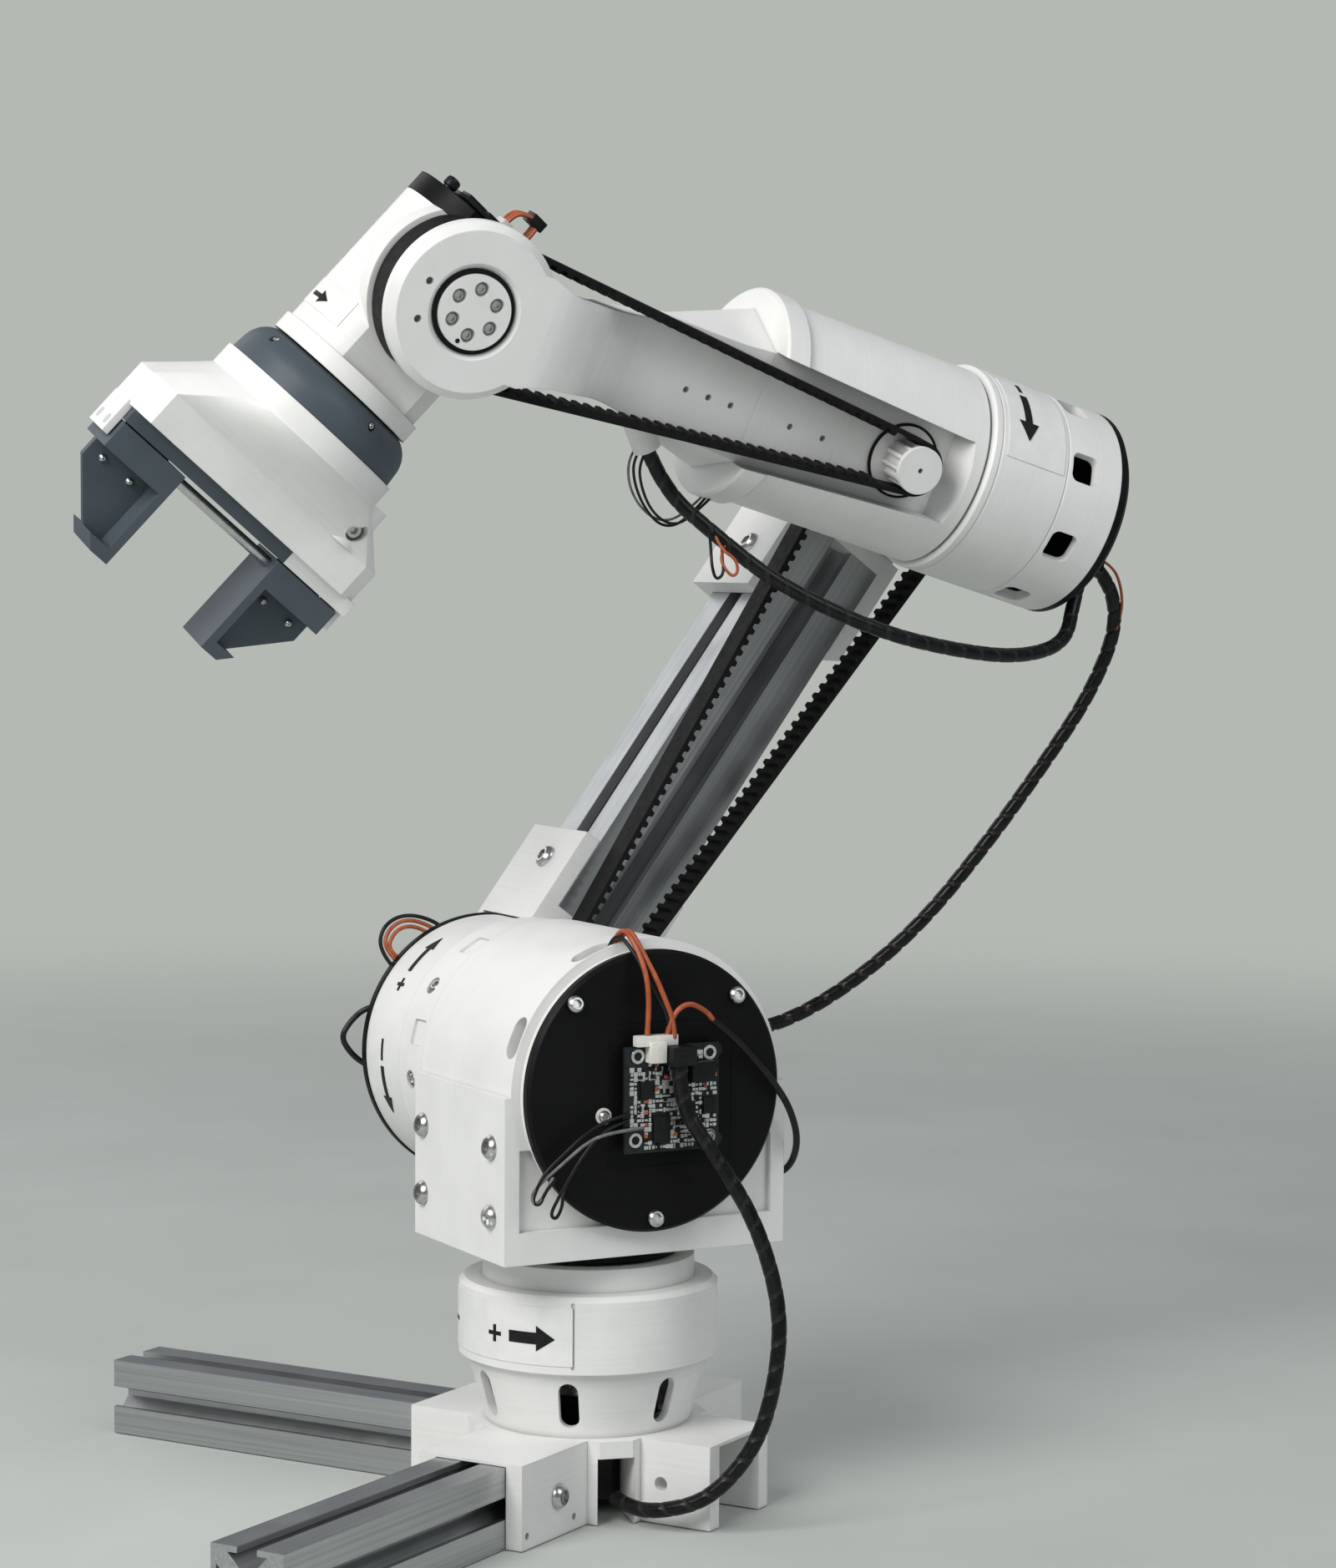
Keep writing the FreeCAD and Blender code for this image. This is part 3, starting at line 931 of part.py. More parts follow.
wristMotorTop = "(pocket_floor - pocket_plate)"
wristMotor = motor("wrist_motor", "XZ_Plane", (dim.drive_x, 0), wristMotorTop + " - motor_length",
                   wristMotorTop,
                   "wrist_belt_near", dim.motor_side)
subPart("wrist_motor", wristMotor, forearmFrame)
wristBeltLow = "(wrist_belt_near - belt_width)"
subPart("wrist_belt", pad("wrist_belt_pad", "XZ_Plane", beltLoops(dim.drive_teeth, dim.wrist_teeth,
                                                                  dim.wrist_x - dim.drive_x,
                                                                  lambda a, b: (dim.drive_x + a, b)),
                          wristBeltLow, "wrist_belt_near"), forearmFrame)
drivePulley = pad("wrist_drive_pad", "XZ_Plane", [pulleyLoop(dim.drive_teeth, dim.drive_x, 0),
                                                  circle(dim.drive_x, 0, driveBore)],
                  wristBeltLow + " - 0.4", "wrist_belt_near + 1")
driveFlange = ringAlongY("wrist_drive_flange", dim.drive_x, 0, dim.drive_flange_radius, driveBore,
                         "pocket_floor + 0.3",
                         wristBeltLow + " - 0.4")
driveCap = ringAlongY("wrist_drive_cap", dim.drive_x, 0, dim.drive_cap_radius, dim.drive_cap_hole,
                      "wrist_belt_near + 1",
                      "wrist_belt_near + 1 + drive_cap_depth")
subPart("wrist_drive_pulley", fuse("wrist_drive_solid", [drivePulley, driveFlange, driveCap]), forearmFrame)

# Wrist: body along its own X, driven pulley and hub on the pitch axis.
wristBarrel = cylinder("wrist_barrel", "wrist_radius", "wrist_rear + wrist_front",
                       ("-wrist_rear", "0", "0"), alongX)
wristLip = cylinder("wrist_lip", "wrist_radius + wrist_lip", "wrist_lip_length",
                    ("wrist_front - wrist_lip_length", "0", "0"), alongX)
wristSpan = ("-2 * wrist_radius", "2 * wrist_radius")
wristFlat = box("wrist_flat_cut", ("-wrist_rear - 1", "wrist_front - wrist_lip_length"),
                ("wrist_flat", "wrist_radius + 5"),
                wristSpan)
wristBoss = cylinder("wrist_boss", "wrist_boss_radius", "wrist_boss_depth",
                     ("0", "wrist_flat - wrist_boss_depth", "0"), alongY)
wristBack = box("wrist_back_cut", ("-2 * wrist_radius", "-wrist_rear"), ("-wrist_radius", "wrist_radius"),
                wristSpan)
smallRoom = ("-small_motor_side / 2 - motor_room_gap", "small_motor_side / 2 + motor_room_gap")
wristRoom = box("wrist_room", ("-wrist_rear - 1", "-wrist_rear + small_motor_length + 2"), smallRoom,
                smallRoom)
subPart("wrist_body", cut("wrist_cut", fuse("wrist_solid", [wristBarrel, wristLip, wristBoss]),
                          [wristFlat, wristBack, wristRoom]), wristFrame)
wristCoverDisc = cylinder("wrist_cover_disc", "wrist_radius", "wrist_cover_depth",
                          ("-wrist_rear - wrist_cover_depth", "0", "0"),
                          alongX)
wristCoverFlat = box("wrist_cover_flat", ("-wrist_rear - wrist_cover_depth - 1", "-wrist_rear + 1"),
                     ("wrist_flat", "wrist_radius + 5"), wristSpan)
subPart("wrist_cover", cut("wrist_cover_cut", wristCoverDisc, [wristCoverFlat]), wristFrame)
pulleyDisc = pad("wrist_pulley_pad", "XZ_Plane", [pulleyLoop(dim.wrist_teeth, 0, 0)], "wrist_flat",
                 "yoke_disc_back - 0.4")
subPart("wrist_pulley", pulleyDisc, wristFrame)
hubShoulder = "(yoke_disc_face - bore_bevel)"
hubFoot = cylinder("wrist_hub_foot", "wrist_hub_radius", hubShoulder + " - yoke_disc_back + 0.4",
                   ("0", "yoke_disc_back - 0.4", "0"),
                   alongY)
hubNose = cylinder("wrist_hub_nose", "wrist_hub_nose", "wrist_hub_face - " + hubShoulder,
                   ("0", hubShoulder, "0"), alongY)
hubTools = []
for number in range(int(dim.hub_bolts)):
    angle = math.radians(dim.hub_bolt_turn + number * 360.0 / dim.hub_bolts)
    hubTools.append(cylinder("hub_counterbore_%d" % number, "hub_counterbore", "hub_counterbore_depth + 1",
                             ("hub_bolt_circle * %.6f" % math.cos(angle),
                              "wrist_hub_face - hub_counterbore_depth",
                              "hub_bolt_circle * %.6f" % math.sin(angle)), alongY))
subPart("wrist_hub", cut("wrist_hub_cut", fuse("wrist_hub_solid", [hubFoot, hubNose]), hubTools),
        wristFrame)
toolMotor = motor("tool_motor", "YZ_Plane", (0, 0), "-wrist_rear", "-wrist_rear + small_motor_length",
                  "-wrist_rear + small_motor_length + 1.9", dim.small_motor_side)
subPart("tool_motor", toolMotor, wristFrame)

# Gripper: adapter, body with its rail plate, rods and two jaws.
adapterTurn = revolve("adapter_turn", [outline(
    (dim.adapter_start, 0), (dim.adapter_start, dim.adapter_rear_radius),
    ((dim.adapter_start + 3.5, dim.adapter_radius - 3), (dim.adapter_start + 9.5,
                                                         dim.adapter_radius - 0.6)),
    (dim.adapter_end, dim.adapter_radius), (dim.adapter_end, 0))], "H_Axis")
adapterHoles = []
for number in range(4):
    turn = Rotation(axisX, dim.adapter_hole_turn + number * dim.adapter_hole_step - 90)
    adapterHoles.append(radial("adapter_hole_%d" % number, dim.adapter_hole, "adapter_rear_radius - 3",
                               "adapter_radius + 1",
                               Placement(Vector(dim.adapter_hole_x, 0, 0), turn)))
subPart("tool_adapter", cut("adapter_cut", adapterTurn, adapterHoles), wristFrame)
trackFloor = "(body_end - track_depth)"
railTop = "(body_end + rail_thickness)"
rodX = "(body_end + rail_thickness + rod_lift)"
bodyDrum = cylinder("body_drum", "body_radius", "body_round_end - adapter_end", ("adapter_end", "0", "0"),
                    alongX)


def onRound(angle):
    # A point of the drum's circle, by its angle from the jaws' direction.
    return (dim.body_radius * math.sin(math.radians(angle)),
            dim.body_radius * math.cos(math.radians(angle)))


corners = (14, 40, 140, 166, 194, 220, 320, 346)
middles = (27, 90, 153, 180, 207, 270, 333, 0)
roundLoop = outline(onRound(corners[0]), *[(onRound(middle), onRound(corner))
                                           for middle, corner in zip(middles, corners[1:] + corners[:1])])
deep, tall, bevel = dim.bar_depth, dim.bar_half, dim.bar_bevel
barLoop = outline((deep - bevel, tall), (deep, tall - bevel), (deep, bevel - tall), (deep - bevel, -tall),
                  (bevel - deep, -tall), (-deep, bevel - tall), (-deep, tall - bevel), (bevel - deep, tall))
flare = doc.addObject("PartDesign::Body", "body_flare")
roundSketch = sketchOn(flare, "YZ_Plane", [roundLoop], "body_round_end")
barSketch = sketchOn(flare, "YZ_Plane", [barLoop], "bar_start")
flareLoft = flare.newObject("PartDesign::AdditiveLoft", "body_flare_loft")
flareLoft.Profile = roundSketch
flareLoft.Sections = [barSketch]
bar = pad("body_bar", "YZ_Plane", [barLoop], "bar_start", "body_end")
foot = box("body_foot", ("body_end - 1", railTop), ("-rail_half", "rail_half"),
           ("-bar_half", "-rail_low - rail_joint"))
ears = [box("body_ear_low", ("body_end - 1", railTop + " + ear_rise"), ("-ear_half", "ear_half"),
            ("-bar_half", "-ear_inner")),
        box("body_ear_high", ("body_end - 1", railTop + " + ear_rise"), ("-ear_half", "ear_half"),
            ("ear_inner", "bar_half"))]
sideBoss = cylinder("body_side_boss", "side_boss", "bar_start - side_boss_start",
                    ("side_boss_start", "side_boss_y", "-side_boss_z"), alongX)
sideBore = cylinder("body_side_bore", "side_boss_hole", "side_boss",
                    ("side_boss_hole_x", "side_boss_y + side_boss / 2",
                                                                    "-side_boss_z"), alongY)
track = box("body_track", (trackFloor, "body_end + 1"), ("-track_half", "track_half"),
            ("-rail_low + 2", "rail_high - 2"))
keyWay = box("body_key_way", (railTop + " - key_depth", railTop + " + 1"), ("-key_way", "key_way"),
             ("-ear_inner", "ear_inner"))
gripRoom = box("grip_motor_room", ("adapter_end", trackFloor + " - 1.5"), smallRoom, smallRoom)
gripShaftWay = cylinder("grip_shaft_way", "shaft_radius + 0.5", "4", (trackFloor + " - 3", "0", "0"),
                        alongX)
rods = []
for side, y in (("near", "rod_y"), ("far", "-rod_y")):
    rods.append(cylinder("rod_" + side, "rod_radius", "2 * bar_half", (rodX, y, "-bar_half")))
bodyTools = [track, keyWay, gripRoom, gripShaftWay, sideBore] + rods
subPart("gripper_body", cut("gripper_cut", fuse("gripper_solid", [bodyDrum, flare, bar, foot,
                                                                  sideBoss] + ears), bodyTools),
        wristFrame)
gripMotor = motor("grip_motor", "YZ_Plane", (0, 0), "adapter_end", trackFloor + " - 1.5", "body_end - 1",
                  dim.small_motor_side)
subPart("grip_motor", gripMotor, wristFrame)
subPart("guide_rods", group("rod_group", rods), wristFrame)
railStrip = box("rail_strip", ("body_end", railTop), ("-rail_half", "rail_half"),
                ("-rail_low", "rail_high"))
subPart("rail_plate", cut("rail_cut", railStrip, [keyWay]), wristFrame)


def jaw(name, sign):
    # The block slides on the rods; the finger is a wedge with a web between its grip face and open sides.
    inner = sign * dim.jaw_inner
    outer = sign * (dim.jaw_inner + dim.jaw_length)
    tipOut = sign * (dim.jaw_inner + dim.jaw_tip_width)
    root = dim.body_end + dim.rail_thickness + dim.jaw_gap
    blockEnd = root + dim.jaw_block
    tip = root + dim.jaw_reach
    finger = pad(name + "_finger", "XZ_Plane", [outline((root, inner), (tip, inner), (tip, tipOut),
                                                        (blockEnd, outer), (root, outer))], "-jaw_depth",
                 "jaw_depth")
    rib = inner + sign * dim.jaw_rib
    tipStart = tip - dim.jaw_tip_depth
    beyond = outer + sign
    sides = []
    for face, low, high in (("near", "jaw_web / 2", "jaw_depth + 1"),
                            ("far", "-jaw_depth - 1", "-jaw_web / 2")):
        sides.append(pad(name + "_pocket_" + face, "XZ_Plane", [outline(
            (root + dim.jaw_pocket, rib), (tipStart, rib), (tipStart, beyond),
            (root + dim.jaw_pocket, beyond))], low, high))
    low, high = ("jaw_inner + key_inset", "jaw_inner + jaw_length - key_inset")
    if sign < 0:
        low, high = ("-jaw_inner - jaw_length + key_inset", "-jaw_inner - key_inset")
    key = box(name + "_key", (railTop + " - key_depth + 0.4", railTop + " + jaw_gap"),
              ("-key_half", "key_half"), (low, high))
    ways = []
    for side, y in (("near", "rod_y"), ("far", "-rod_y")):
        ways.append(cylinder("%s_way_%s" % (name, side), "rod_radius + running_gap", "3 * bar_half",
                             (rodX, y, "-1.5 * bar_half")))
    return cut(name + "_cut", fuse(name + "_solid", [cut(name + "_hollow", finger, sides), key]), ways)


subPart("front_jaw", jaw("front_jaw_form", 1), wristFrame)
subPart("rear_jaw", jaw("rear_jaw_form", -1), wristFrame)

# Cables: straight runs joined by tangent arcs between hand-placed points, in the arm's frame.
backwards = Rotation(axisY, -90)
armGland = cylinder("arm_gland_rod", "gland_radius", "gland_length + 3",
                    ("-root_radius + 3", "-gland_y", "0"), backwards)
armGlandSeat = cylinder("arm_gland_seat", "root_radius", "2 * gland_radius + 2",
                        ("0", "-gland_y - gland_radius - 1", "0"), alongY)
subPart("arm_gland", cut("arm_gland_cut", armGland, [armGlandSeat]), pitchFrame)
slanted = Rotation(axisY, -135)
reliefRod = cylinder("relief_rod", "gland_radius", "relief_drop * sqrt(2) + 8",
                     ("relief_x + 4 * sqrt(2)", "relief_y", "-yoke_half + 4 * sqrt(2)"), slanted)
subPart("cable_relief", cut("relief_cut", reliefRod, [yokeSolid]), forearmFrame)


def cable(label, route):
    points = [Vector(*point) for point in route]
    edges = []
    here = points[0]
    for before, corner, after in zip(points, points[1:], points[2:]):
        inward = (before - corner).normalize()
        outward = (after - corner).normalize()
        reach = 0.45 * min((before - corner).Length, (after - corner).Length)
        halfOpening = inward.getAngle(outward) / 2
        middle = (inward + outward).normalize()
        bendRadius = reach * math.tan(halfOpening)
        top = corner + middle * (reach / math.cos(halfOpening) - bendRadius)
        edges.append(Part.LineSegment(here, corner + inward * reach).toShape())
        edges.append(Part.Arc(corner + inward * reach, top, corner + outward * reach).toShape())
        here = corner + outward * reach
        print("%s bend radius %.1f mm" % (label, bendRadius))
    edges.append(Part.LineSegment(here, points[-1]).toShape())
    spine = Part.Wire(edges)
    section = Part.Wire([Part.Circle(points[0], points[1] - points[0], dim.harness_radius).toShape()])
    feature = doc.addObject("Part::Feature", label + "_tube")
    feature.Shape = spine.makePipeShell([section], True, False)
    expected = math.pi * dim.harness_radius ** 2 * spine.Length
    print("%s %.1f mm long, volume %.4f of its section times its length" % (label, spine.Length,
                                                                            feature.Shape.Volume / expected))
    subPart(label, feature)


def at(frame, x, y, z):
    return tuple(frame.multVec(Vector(x, y, z)))


rollRear = coverBack
glandEnd = rollRear - dim.roll_gland_length
plugX = rollRear - dim.roll_plug_length / 2
plugY = (dim.roll_plug_near + dim.roll_plug_far) / 2
reliefEnd = (dim.relief_x - dim.relief_drop, dim.relief_y, -dim.yoke_half - dim.relief_drop)
armGlandEnd = -dim.root_radius - dim.gland_length
connectorX = -dim.board_x + dim.connector_width / 2
connectorY = dim.cover_face + dim.standoff_height + dim.board_thickness + dim.connector_depth / 2
connectorZ = -dim.board_z + dim.board_height / 2 - dim.connector_height
# each end leaves its fitting straight for the length named here
connectorLead, glandLead, armGlandLead, plugLead, reliefLead = 14, 19, 28, 15, 13
cable("base_cable", [
    at(pitchFrame, connectorX, connectorY, connectorZ), at(pitchFrame, connectorX, connectorY,
                                                           connectorZ - connectorLead),
    at(pitchFrame, -15.0, 70.0, -21.3), at(pitchFrame, -30.0, 76.0, -46.3),
    (-38.8, 80, 85.5), (-36, 83, 60), (-28.5, 82, 34), (-13, 75, 14.2), (0, 62, 8), (7, 50, 7),
    (7.6, 38, 8.5)])
cable("elbow_cable", [
    at(elbowFrame, glandEnd, -dim.roll_gland_y, -dim.roll_gland_z),
    at(elbowFrame, glandEnd - glandLead, -dim.roll_gland_y, -dim.roll_gland_z),
    at(elbowFrame, -96.2, -12.5, -29.3), at(elbowFrame, -97.6, -21.0, -61.7),
    at(elbowFrame, -88.5, -31.0, -98.6), at(pitchFrame, -205.0, -40.0, 77.7),
    at(pitchFrame, -179.0, -50.0, 43.7), at(pitchFrame, -148.0, -59.0, 17.7),
    at(pitchFrame, -120.0, -68.0, 2.7),
    at(pitchFrame, armGlandEnd - armGlandLead, -dim.gland_y, 0), at(pitchFrame, armGlandEnd, -dim.gland_y,
                                                                    0)])
cable("forearm_cable", [
    at(elbowFrame, plugX, plugY, -dim.roll_plug_low), at(elbowFrame, plugX, plugY,
                                                         -dim.roll_plug_low - plugLead),
    at(elbowFrame, -52.7, 18.0, -53.7), at(elbowFrame, -29.1, 25.0, -65.7),
    at(elbowFrame, 2.0, 30.0, -71.8), at(elbowFrame, 42.1, 32.0, -75.0), at(elbowFrame, 85.8, 24.0, -68.5),
    at(elbowFrame, 110.7, 14.0, -56.9),
    at(forearmFrame, reliefEnd[0] - reliefLead, reliefEnd[1], reliefEnd[2] - reliefLead),
    at(forearmFrame, *reliefEnd)])

# Check every object and write one file for each sub-part.
doc.recompute()
for obj in doc.Objects:
    if "Invalid" in obj.State or "Error" in obj.State:
        raise RuntimeError("%s did not build: %s" % (obj.Name, obj.State))
for obj in subParts:
    if obj.Shape.isNull() or not obj.Shape.isValid() or not obj.Shape.Solids:
        raise RuntimeError("%s has no valid solid" % obj.Label)
os.makedirs("parts", exist_ok=True)
for obj in subParts:
    obj.Shape.exportStep("parts/%s.step" % obj.Label)
    print("%-20s %d solids %10.1f mm3" % (obj.Label, len(obj.Shape.Solids), obj.Shape.Volume))
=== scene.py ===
import bmesh
import bpy
import json
import math
from mathutils import Matrix, Vector


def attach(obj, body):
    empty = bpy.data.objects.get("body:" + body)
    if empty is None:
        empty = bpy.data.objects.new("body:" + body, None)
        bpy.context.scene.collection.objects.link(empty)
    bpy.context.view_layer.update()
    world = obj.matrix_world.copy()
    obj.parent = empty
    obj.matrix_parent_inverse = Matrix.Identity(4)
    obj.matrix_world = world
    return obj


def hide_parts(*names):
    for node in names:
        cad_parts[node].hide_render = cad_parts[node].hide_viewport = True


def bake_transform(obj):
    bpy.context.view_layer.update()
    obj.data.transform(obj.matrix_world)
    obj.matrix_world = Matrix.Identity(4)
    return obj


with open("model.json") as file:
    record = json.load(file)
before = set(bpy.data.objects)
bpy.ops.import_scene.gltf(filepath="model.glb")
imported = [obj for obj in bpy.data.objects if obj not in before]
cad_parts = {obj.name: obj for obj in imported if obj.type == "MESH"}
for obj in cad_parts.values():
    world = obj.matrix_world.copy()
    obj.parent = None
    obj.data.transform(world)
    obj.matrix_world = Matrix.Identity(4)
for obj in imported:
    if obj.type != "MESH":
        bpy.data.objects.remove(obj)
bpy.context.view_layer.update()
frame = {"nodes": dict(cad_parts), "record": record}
scene = bpy.context.scene
mm = 0.001
print("frame loaded:", len(frame["nodes"]), "nodes")

# How the arm stands at rest, in degrees and millimetres, as in the part's source
stance = {
    "legsYaw": 31.74, "pitchHeight": 163.3, "armLean": 36.3, "armLength": 284.0,
    "forearmRise": 16.0, "forearmRoll": -16.5, "wristX": 244.5, "wristDrop": 67.0,
}


def turned(axis, degrees):
    return Matrix.Rotation(math.radians(degrees), 4, axis)


def shifted(x, y, z):
    return Matrix.Translation((x, y, z))


worldLink = Matrix.Identity(4)
baseLink = turned("Z", stance["legsYaw"])
pitchLink = shifted(0, 0, stance["pitchHeight"])
armLink = pitchLink @ turned("Y", -stance["armLean"])
elbowTurn = turned("Y", stance["armLean"] - stance["forearmRise"])
elbowLink = armLink @ shifted(0, 0, stance["armLength"]) @ elbowTurn
forearmLink = elbowLink @ turned("X", stance["forearmRoll"])
wristLink = forearmLink @ shifted(stance["wristX"], 0, 0) @ turned("Y", stance["wristDrop"])


def onLink(link, point):
    return (link @ Vector(point)) * mm


def axisOf(link, axis):
    return (link.to_3x3() @ Vector(axis)).normalized()


# Node trees are written with short helpers; a node given as an input stands for its first output
def feed(tree, item, **inputs):
    for key, value in inputs.items():
        name = key.replace("_", " ")
        socket = item.inputs[int(name[1:])] if name[0] == "i" and name[1:].isdigit() else item.inputs[name]
        if isinstance(value, bpy.types.Node):
            value = value.outputs[0]
        if isinstance(value, bpy.types.NodeSocket):
            tree.links.new(value, socket)
        else:
            socket.default_value = value


def addNode(tree, kind, settings=None, **inputs):
    item = tree.nodes.new(kind)
    for key, value in (settings or {}).items():
        setattr(item, key, value)
    feed(tree, item, **inputs)
    return item


def maths(tree, operation, *values):
    inputs = {"i%d" % number: value for number, value in enumerate(values)}
    return addNode(tree, "ShaderNodeMath", {"operation": operation}, **inputs)


def noise(tree, place, scale, detail, roughness=0.5):
    return addNode(tree, "ShaderNodeTexNoise", Vector=place, Scale=scale, Detail=detail,
                   Roughness=roughness)


def newMaterial(name, **values):
    material = bpy.data.materials.new(name)
    material.use_nodes = True
    tree = material.node_tree
    shader = tree.nodes["Principled BSDF"]
    feed(tree, shader, **values)
    return material, tree, shader, addNode(tree, "ShaderNodeTexCoord").outputs["Object"]


def spread(tree, value, low, high):
    return addNode(tree, "ShaderNodeMapRange", i0=value, i1=0.3, i2=0.7, i3=low, i4=high)


def tint(tree, value, dark, light):
    ramp = addNode(tree, "ShaderNodeValToRGB", Fac=value)
    for end, position, colour in zip(ramp.color_ramp.elements, (0.3, 0.7), (dark, light)):
        end.position = position
        end.color = (*colour, 1)
    return ramp


# Fine relief, laid over edges that are shaded as if broken
def bumped(tree, height, strength, distance, edge):
    soft = addNode(tree, "ShaderNodeBevel", {"samples": 3}, Radius=edge)
    return addNode(tree, "ShaderNodeBump", Strength=strength, Distance=distance, Height=height, Normal=soft)


printing = {"layer": 0.0007, "relief": 0.00005, "edge": 0.0005, "cornerShadeReach": 0.004, "speck": 0.00004}


# Printed plastic: uneven layers along one direction, soft edges, and painted shade that darkens the colour
# in corners and creases
def printedPlastic(name, along, dark, light, roughness, specular, relief=1.0):
    material, tree, shader, place = newMaterial(name, Specular_IOR_Level=specular)
    rise = addNode(tree, "ShaderNodeVectorMath", {"operation": "DOT_PRODUCT"}, i0=place, i1=along)
    height = rise.outputs["Value"]
    wave = maths(tree, "SINE", maths(tree, "MULTIPLY", height, 2 * math.pi / printing["layer"]))
    band = addNode(tree, "ShaderNodeTexNoise", {"noise_dimensions": "1D"}, Scale=1.0, Detail=4.0,
                   Roughness=0.7, W=maths(tree, "MULTIPLY", height, 0.45 / printing["layer"]))
    ridges = maths(tree, "ADD", band, maths(tree, "MULTIPLY", wave, 0.12))
    cloud = noise(tree, place, 38.0, 5.0, 0.6)
    mixed = maths(tree, "MULTIPLY_ADD", cloud, 0.65, maths(tree, "MULTIPLY", band, 0.35))
    # painted shade: ambient occlusion multiplies the colour darker in corners and creases
    corner = addNode(tree, "ShaderNodeAmbientOcclusion", {"samples": 4}, Distance=printing["cornerShadeReach"])
    shaded = addNode(tree, "ShaderNodeMix", {"data_type": "RGBA", "blend_type": "MULTIPLY"}, i0=1.0,
                     i6=tint(tree, mixed, dark, light), i7=spread(tree, corner.outputs["AO"], 0.72, 1.0))
    layers = bumped(tree, ridges, 0.55 * relief, printing["relief"], printing["edge"])
    grain = addNode(tree, "ShaderNodeBump", Strength=0.25, Distance=printing["speck"],
                    Height=noise(tree, place, 900.0, 2.0), Normal=layers)
    feed(tree, shader, Base_Color=shaded.outputs[2], Normal=grain,
         Roughness=spread(tree, cloud, roughness - 0.07, roughness + 0.08))
    return material


warmWhite = {"dark": (0.73, 0.73, 0.715), "light": (0.82, 0.82, 0.805), "roughness": 0.46, "specular": 0.45}
coverBlack = {"dark": (0.004, 0.004, 0.0045), "light": (0.008, 0.008, 0.009), "roughness": 0.44,
              "specular": 0.12, "relief": 0.6}
slateGrey = {"dark": (0.054, 0.07, 0.086), "light": (0.076, 0.096, 0.115), "roughness": 0.5,
             "specular": 0.35, "relief": 0.8}


# Drawn and anodised aluminium, with streaks along the profile
def anodised(name, link, along):
    material, tree, shader, place = newMaterial(name, Metallic=0.92)
    turn = axisOf(link, along).to_track_quat("X", "Z").inverted().to_euler()
    lined = addNode(tree, "ShaderNodeMapping", Vector=place, Rotation=turn)
    drawn = addNode(tree, "ShaderNodeMapping", Vector=lined, Scale=(6.0, 900.0, 900.0))
    streak = noise(tree, drawn, 1.0, 4.0)
    feed(tree, shader, Base_Color=tint(tree, streak, (0.40, 0.415, 0.425), (0.53, 0.545, 0.555)),
         Roughness=spread(tree, noise(tree, place, 45.0, 4.0), 0.30, 0.44),
         Normal=bumped(tree, streak, 0.3, 0.00003, 0.0004))
    return material


# A plain finish with its own mottle: scale, contrast and roughness come from its settings
def mottled(name, dark, light, roughness, scale, metallic=0.0, relief=0.00004, specular=0.4):
    material, tree, shader, place = newMaterial(name, Metallic=metallic, Specular_IOR_Level=specular)
    cloud = noise(tree, place, scale, 5.0, 0.62)
    feed(tree, shader, Base_Color=tint(tree, cloud, dark, light),
         Roughness=spread(tree, cloud, roughness * 0.82, roughness * 1.15),
         Normal=bumped(tree, noise(tree, place, scale * 14, 3.0), 0.3, relief, 0.0003))
    return material


upZ, upY = (0.0, 0.0, 1.0), (0.0, 1.0, 0.0)
whiteUpright = printedPlastic("white_upright", upZ, **warmWhite)
whiteSideways = printedPlastic("white_sideways", upY, **warmWhite)
whiteArm = printedPlastic("white_arm", axisOf(armLink, upZ), **warmWhite)
whiteForearm = printedPlastic("white_forearm", axisOf(forearmLink, (1, 0, 0)), **warmWhite)
whiteYoke = printedPlastic("white_yoke", axisOf(forearmLink, upY), **warmWhite)
whiteWrist = printedPlastic("white_wrist", axisOf(wristLink, (1, 0, 0)), **warmWhite)
blackSideways = printedPlastic("black_sideways", axisOf(worldLink, (0.7, 0, 0.7)), **coverBlack)
blackRoll = printedPlastic("black_roll", axisOf(elbowLink, (0, 0.7, 0.7)), **coverBlack)
blackWrist = printedPlastic("black_wrist", axisOf(wristLink, (0, 0.7, 0.7)), **coverBlack)
blackUpright = printedPlastic("black_upright", upZ, **coverBlack)
slateWrist = printedPlastic("slate_wrist", axisOf(wristLink, upY), **slateGrey)
slateAdapter = printedPlastic("slate_adapter", axisOf(wristLink, (1, 0, 0)), **slateGrey)
aluminiumFront = anodised("aluminium_front_leg", baseLink, (1, 0, 0))
aluminiumLeft = anodised("aluminium_left_leg", baseLink, upY)
aluminiumArm = anodised("aluminium_arm", armLink, upZ)
screwSteel = mottled("screw_steel_bright", (0.50, 0.50, 0.50), (0.64, 0.64, 0.63), 0.27, metallic=1.0,
                     scale=260.0)
motorBlack = mottled("motor_black", (0.007, 0.007, 0.008), (0.016, 0.016, 0.017), 0.42, scale=90.0,
                     specular=0.2)
beltRubber = mottled("belt_rubber_black", (0.004, 0.004, 0.004), (0.011, 0.011, 0.011), 0.62, scale=300.0,
                     relief=0.0001, specular=0.15)
boardBlack = mottled("board_black", (0.006, 0.008, 0.009), (0.02, 0.023, 0.025), 0.32, scale=500.0,
                     specular=0.3)
chipBlack = mottled("chip_black", (0.005, 0.005, 0.006), (0.012, 0.012, 0.013), 0.38, scale=700.0,
                    specular=0.25)
solder = mottled("solder", (0.55, 0.56, 0.56), (0.85, 0.85, 0.83), 0.28, metallic=0.75, scale=900.0)
connectorWhite = mottled("connector_white", (0.68, 0.66, 0.61), (0.78, 0.77, 0.72), 0.4, scale=400.0)
wireOrange = mottled("wire_orange", (0.30, 0.062, 0.022), (0.47, 0.115, 0.045), 0.36, scale=300.0)
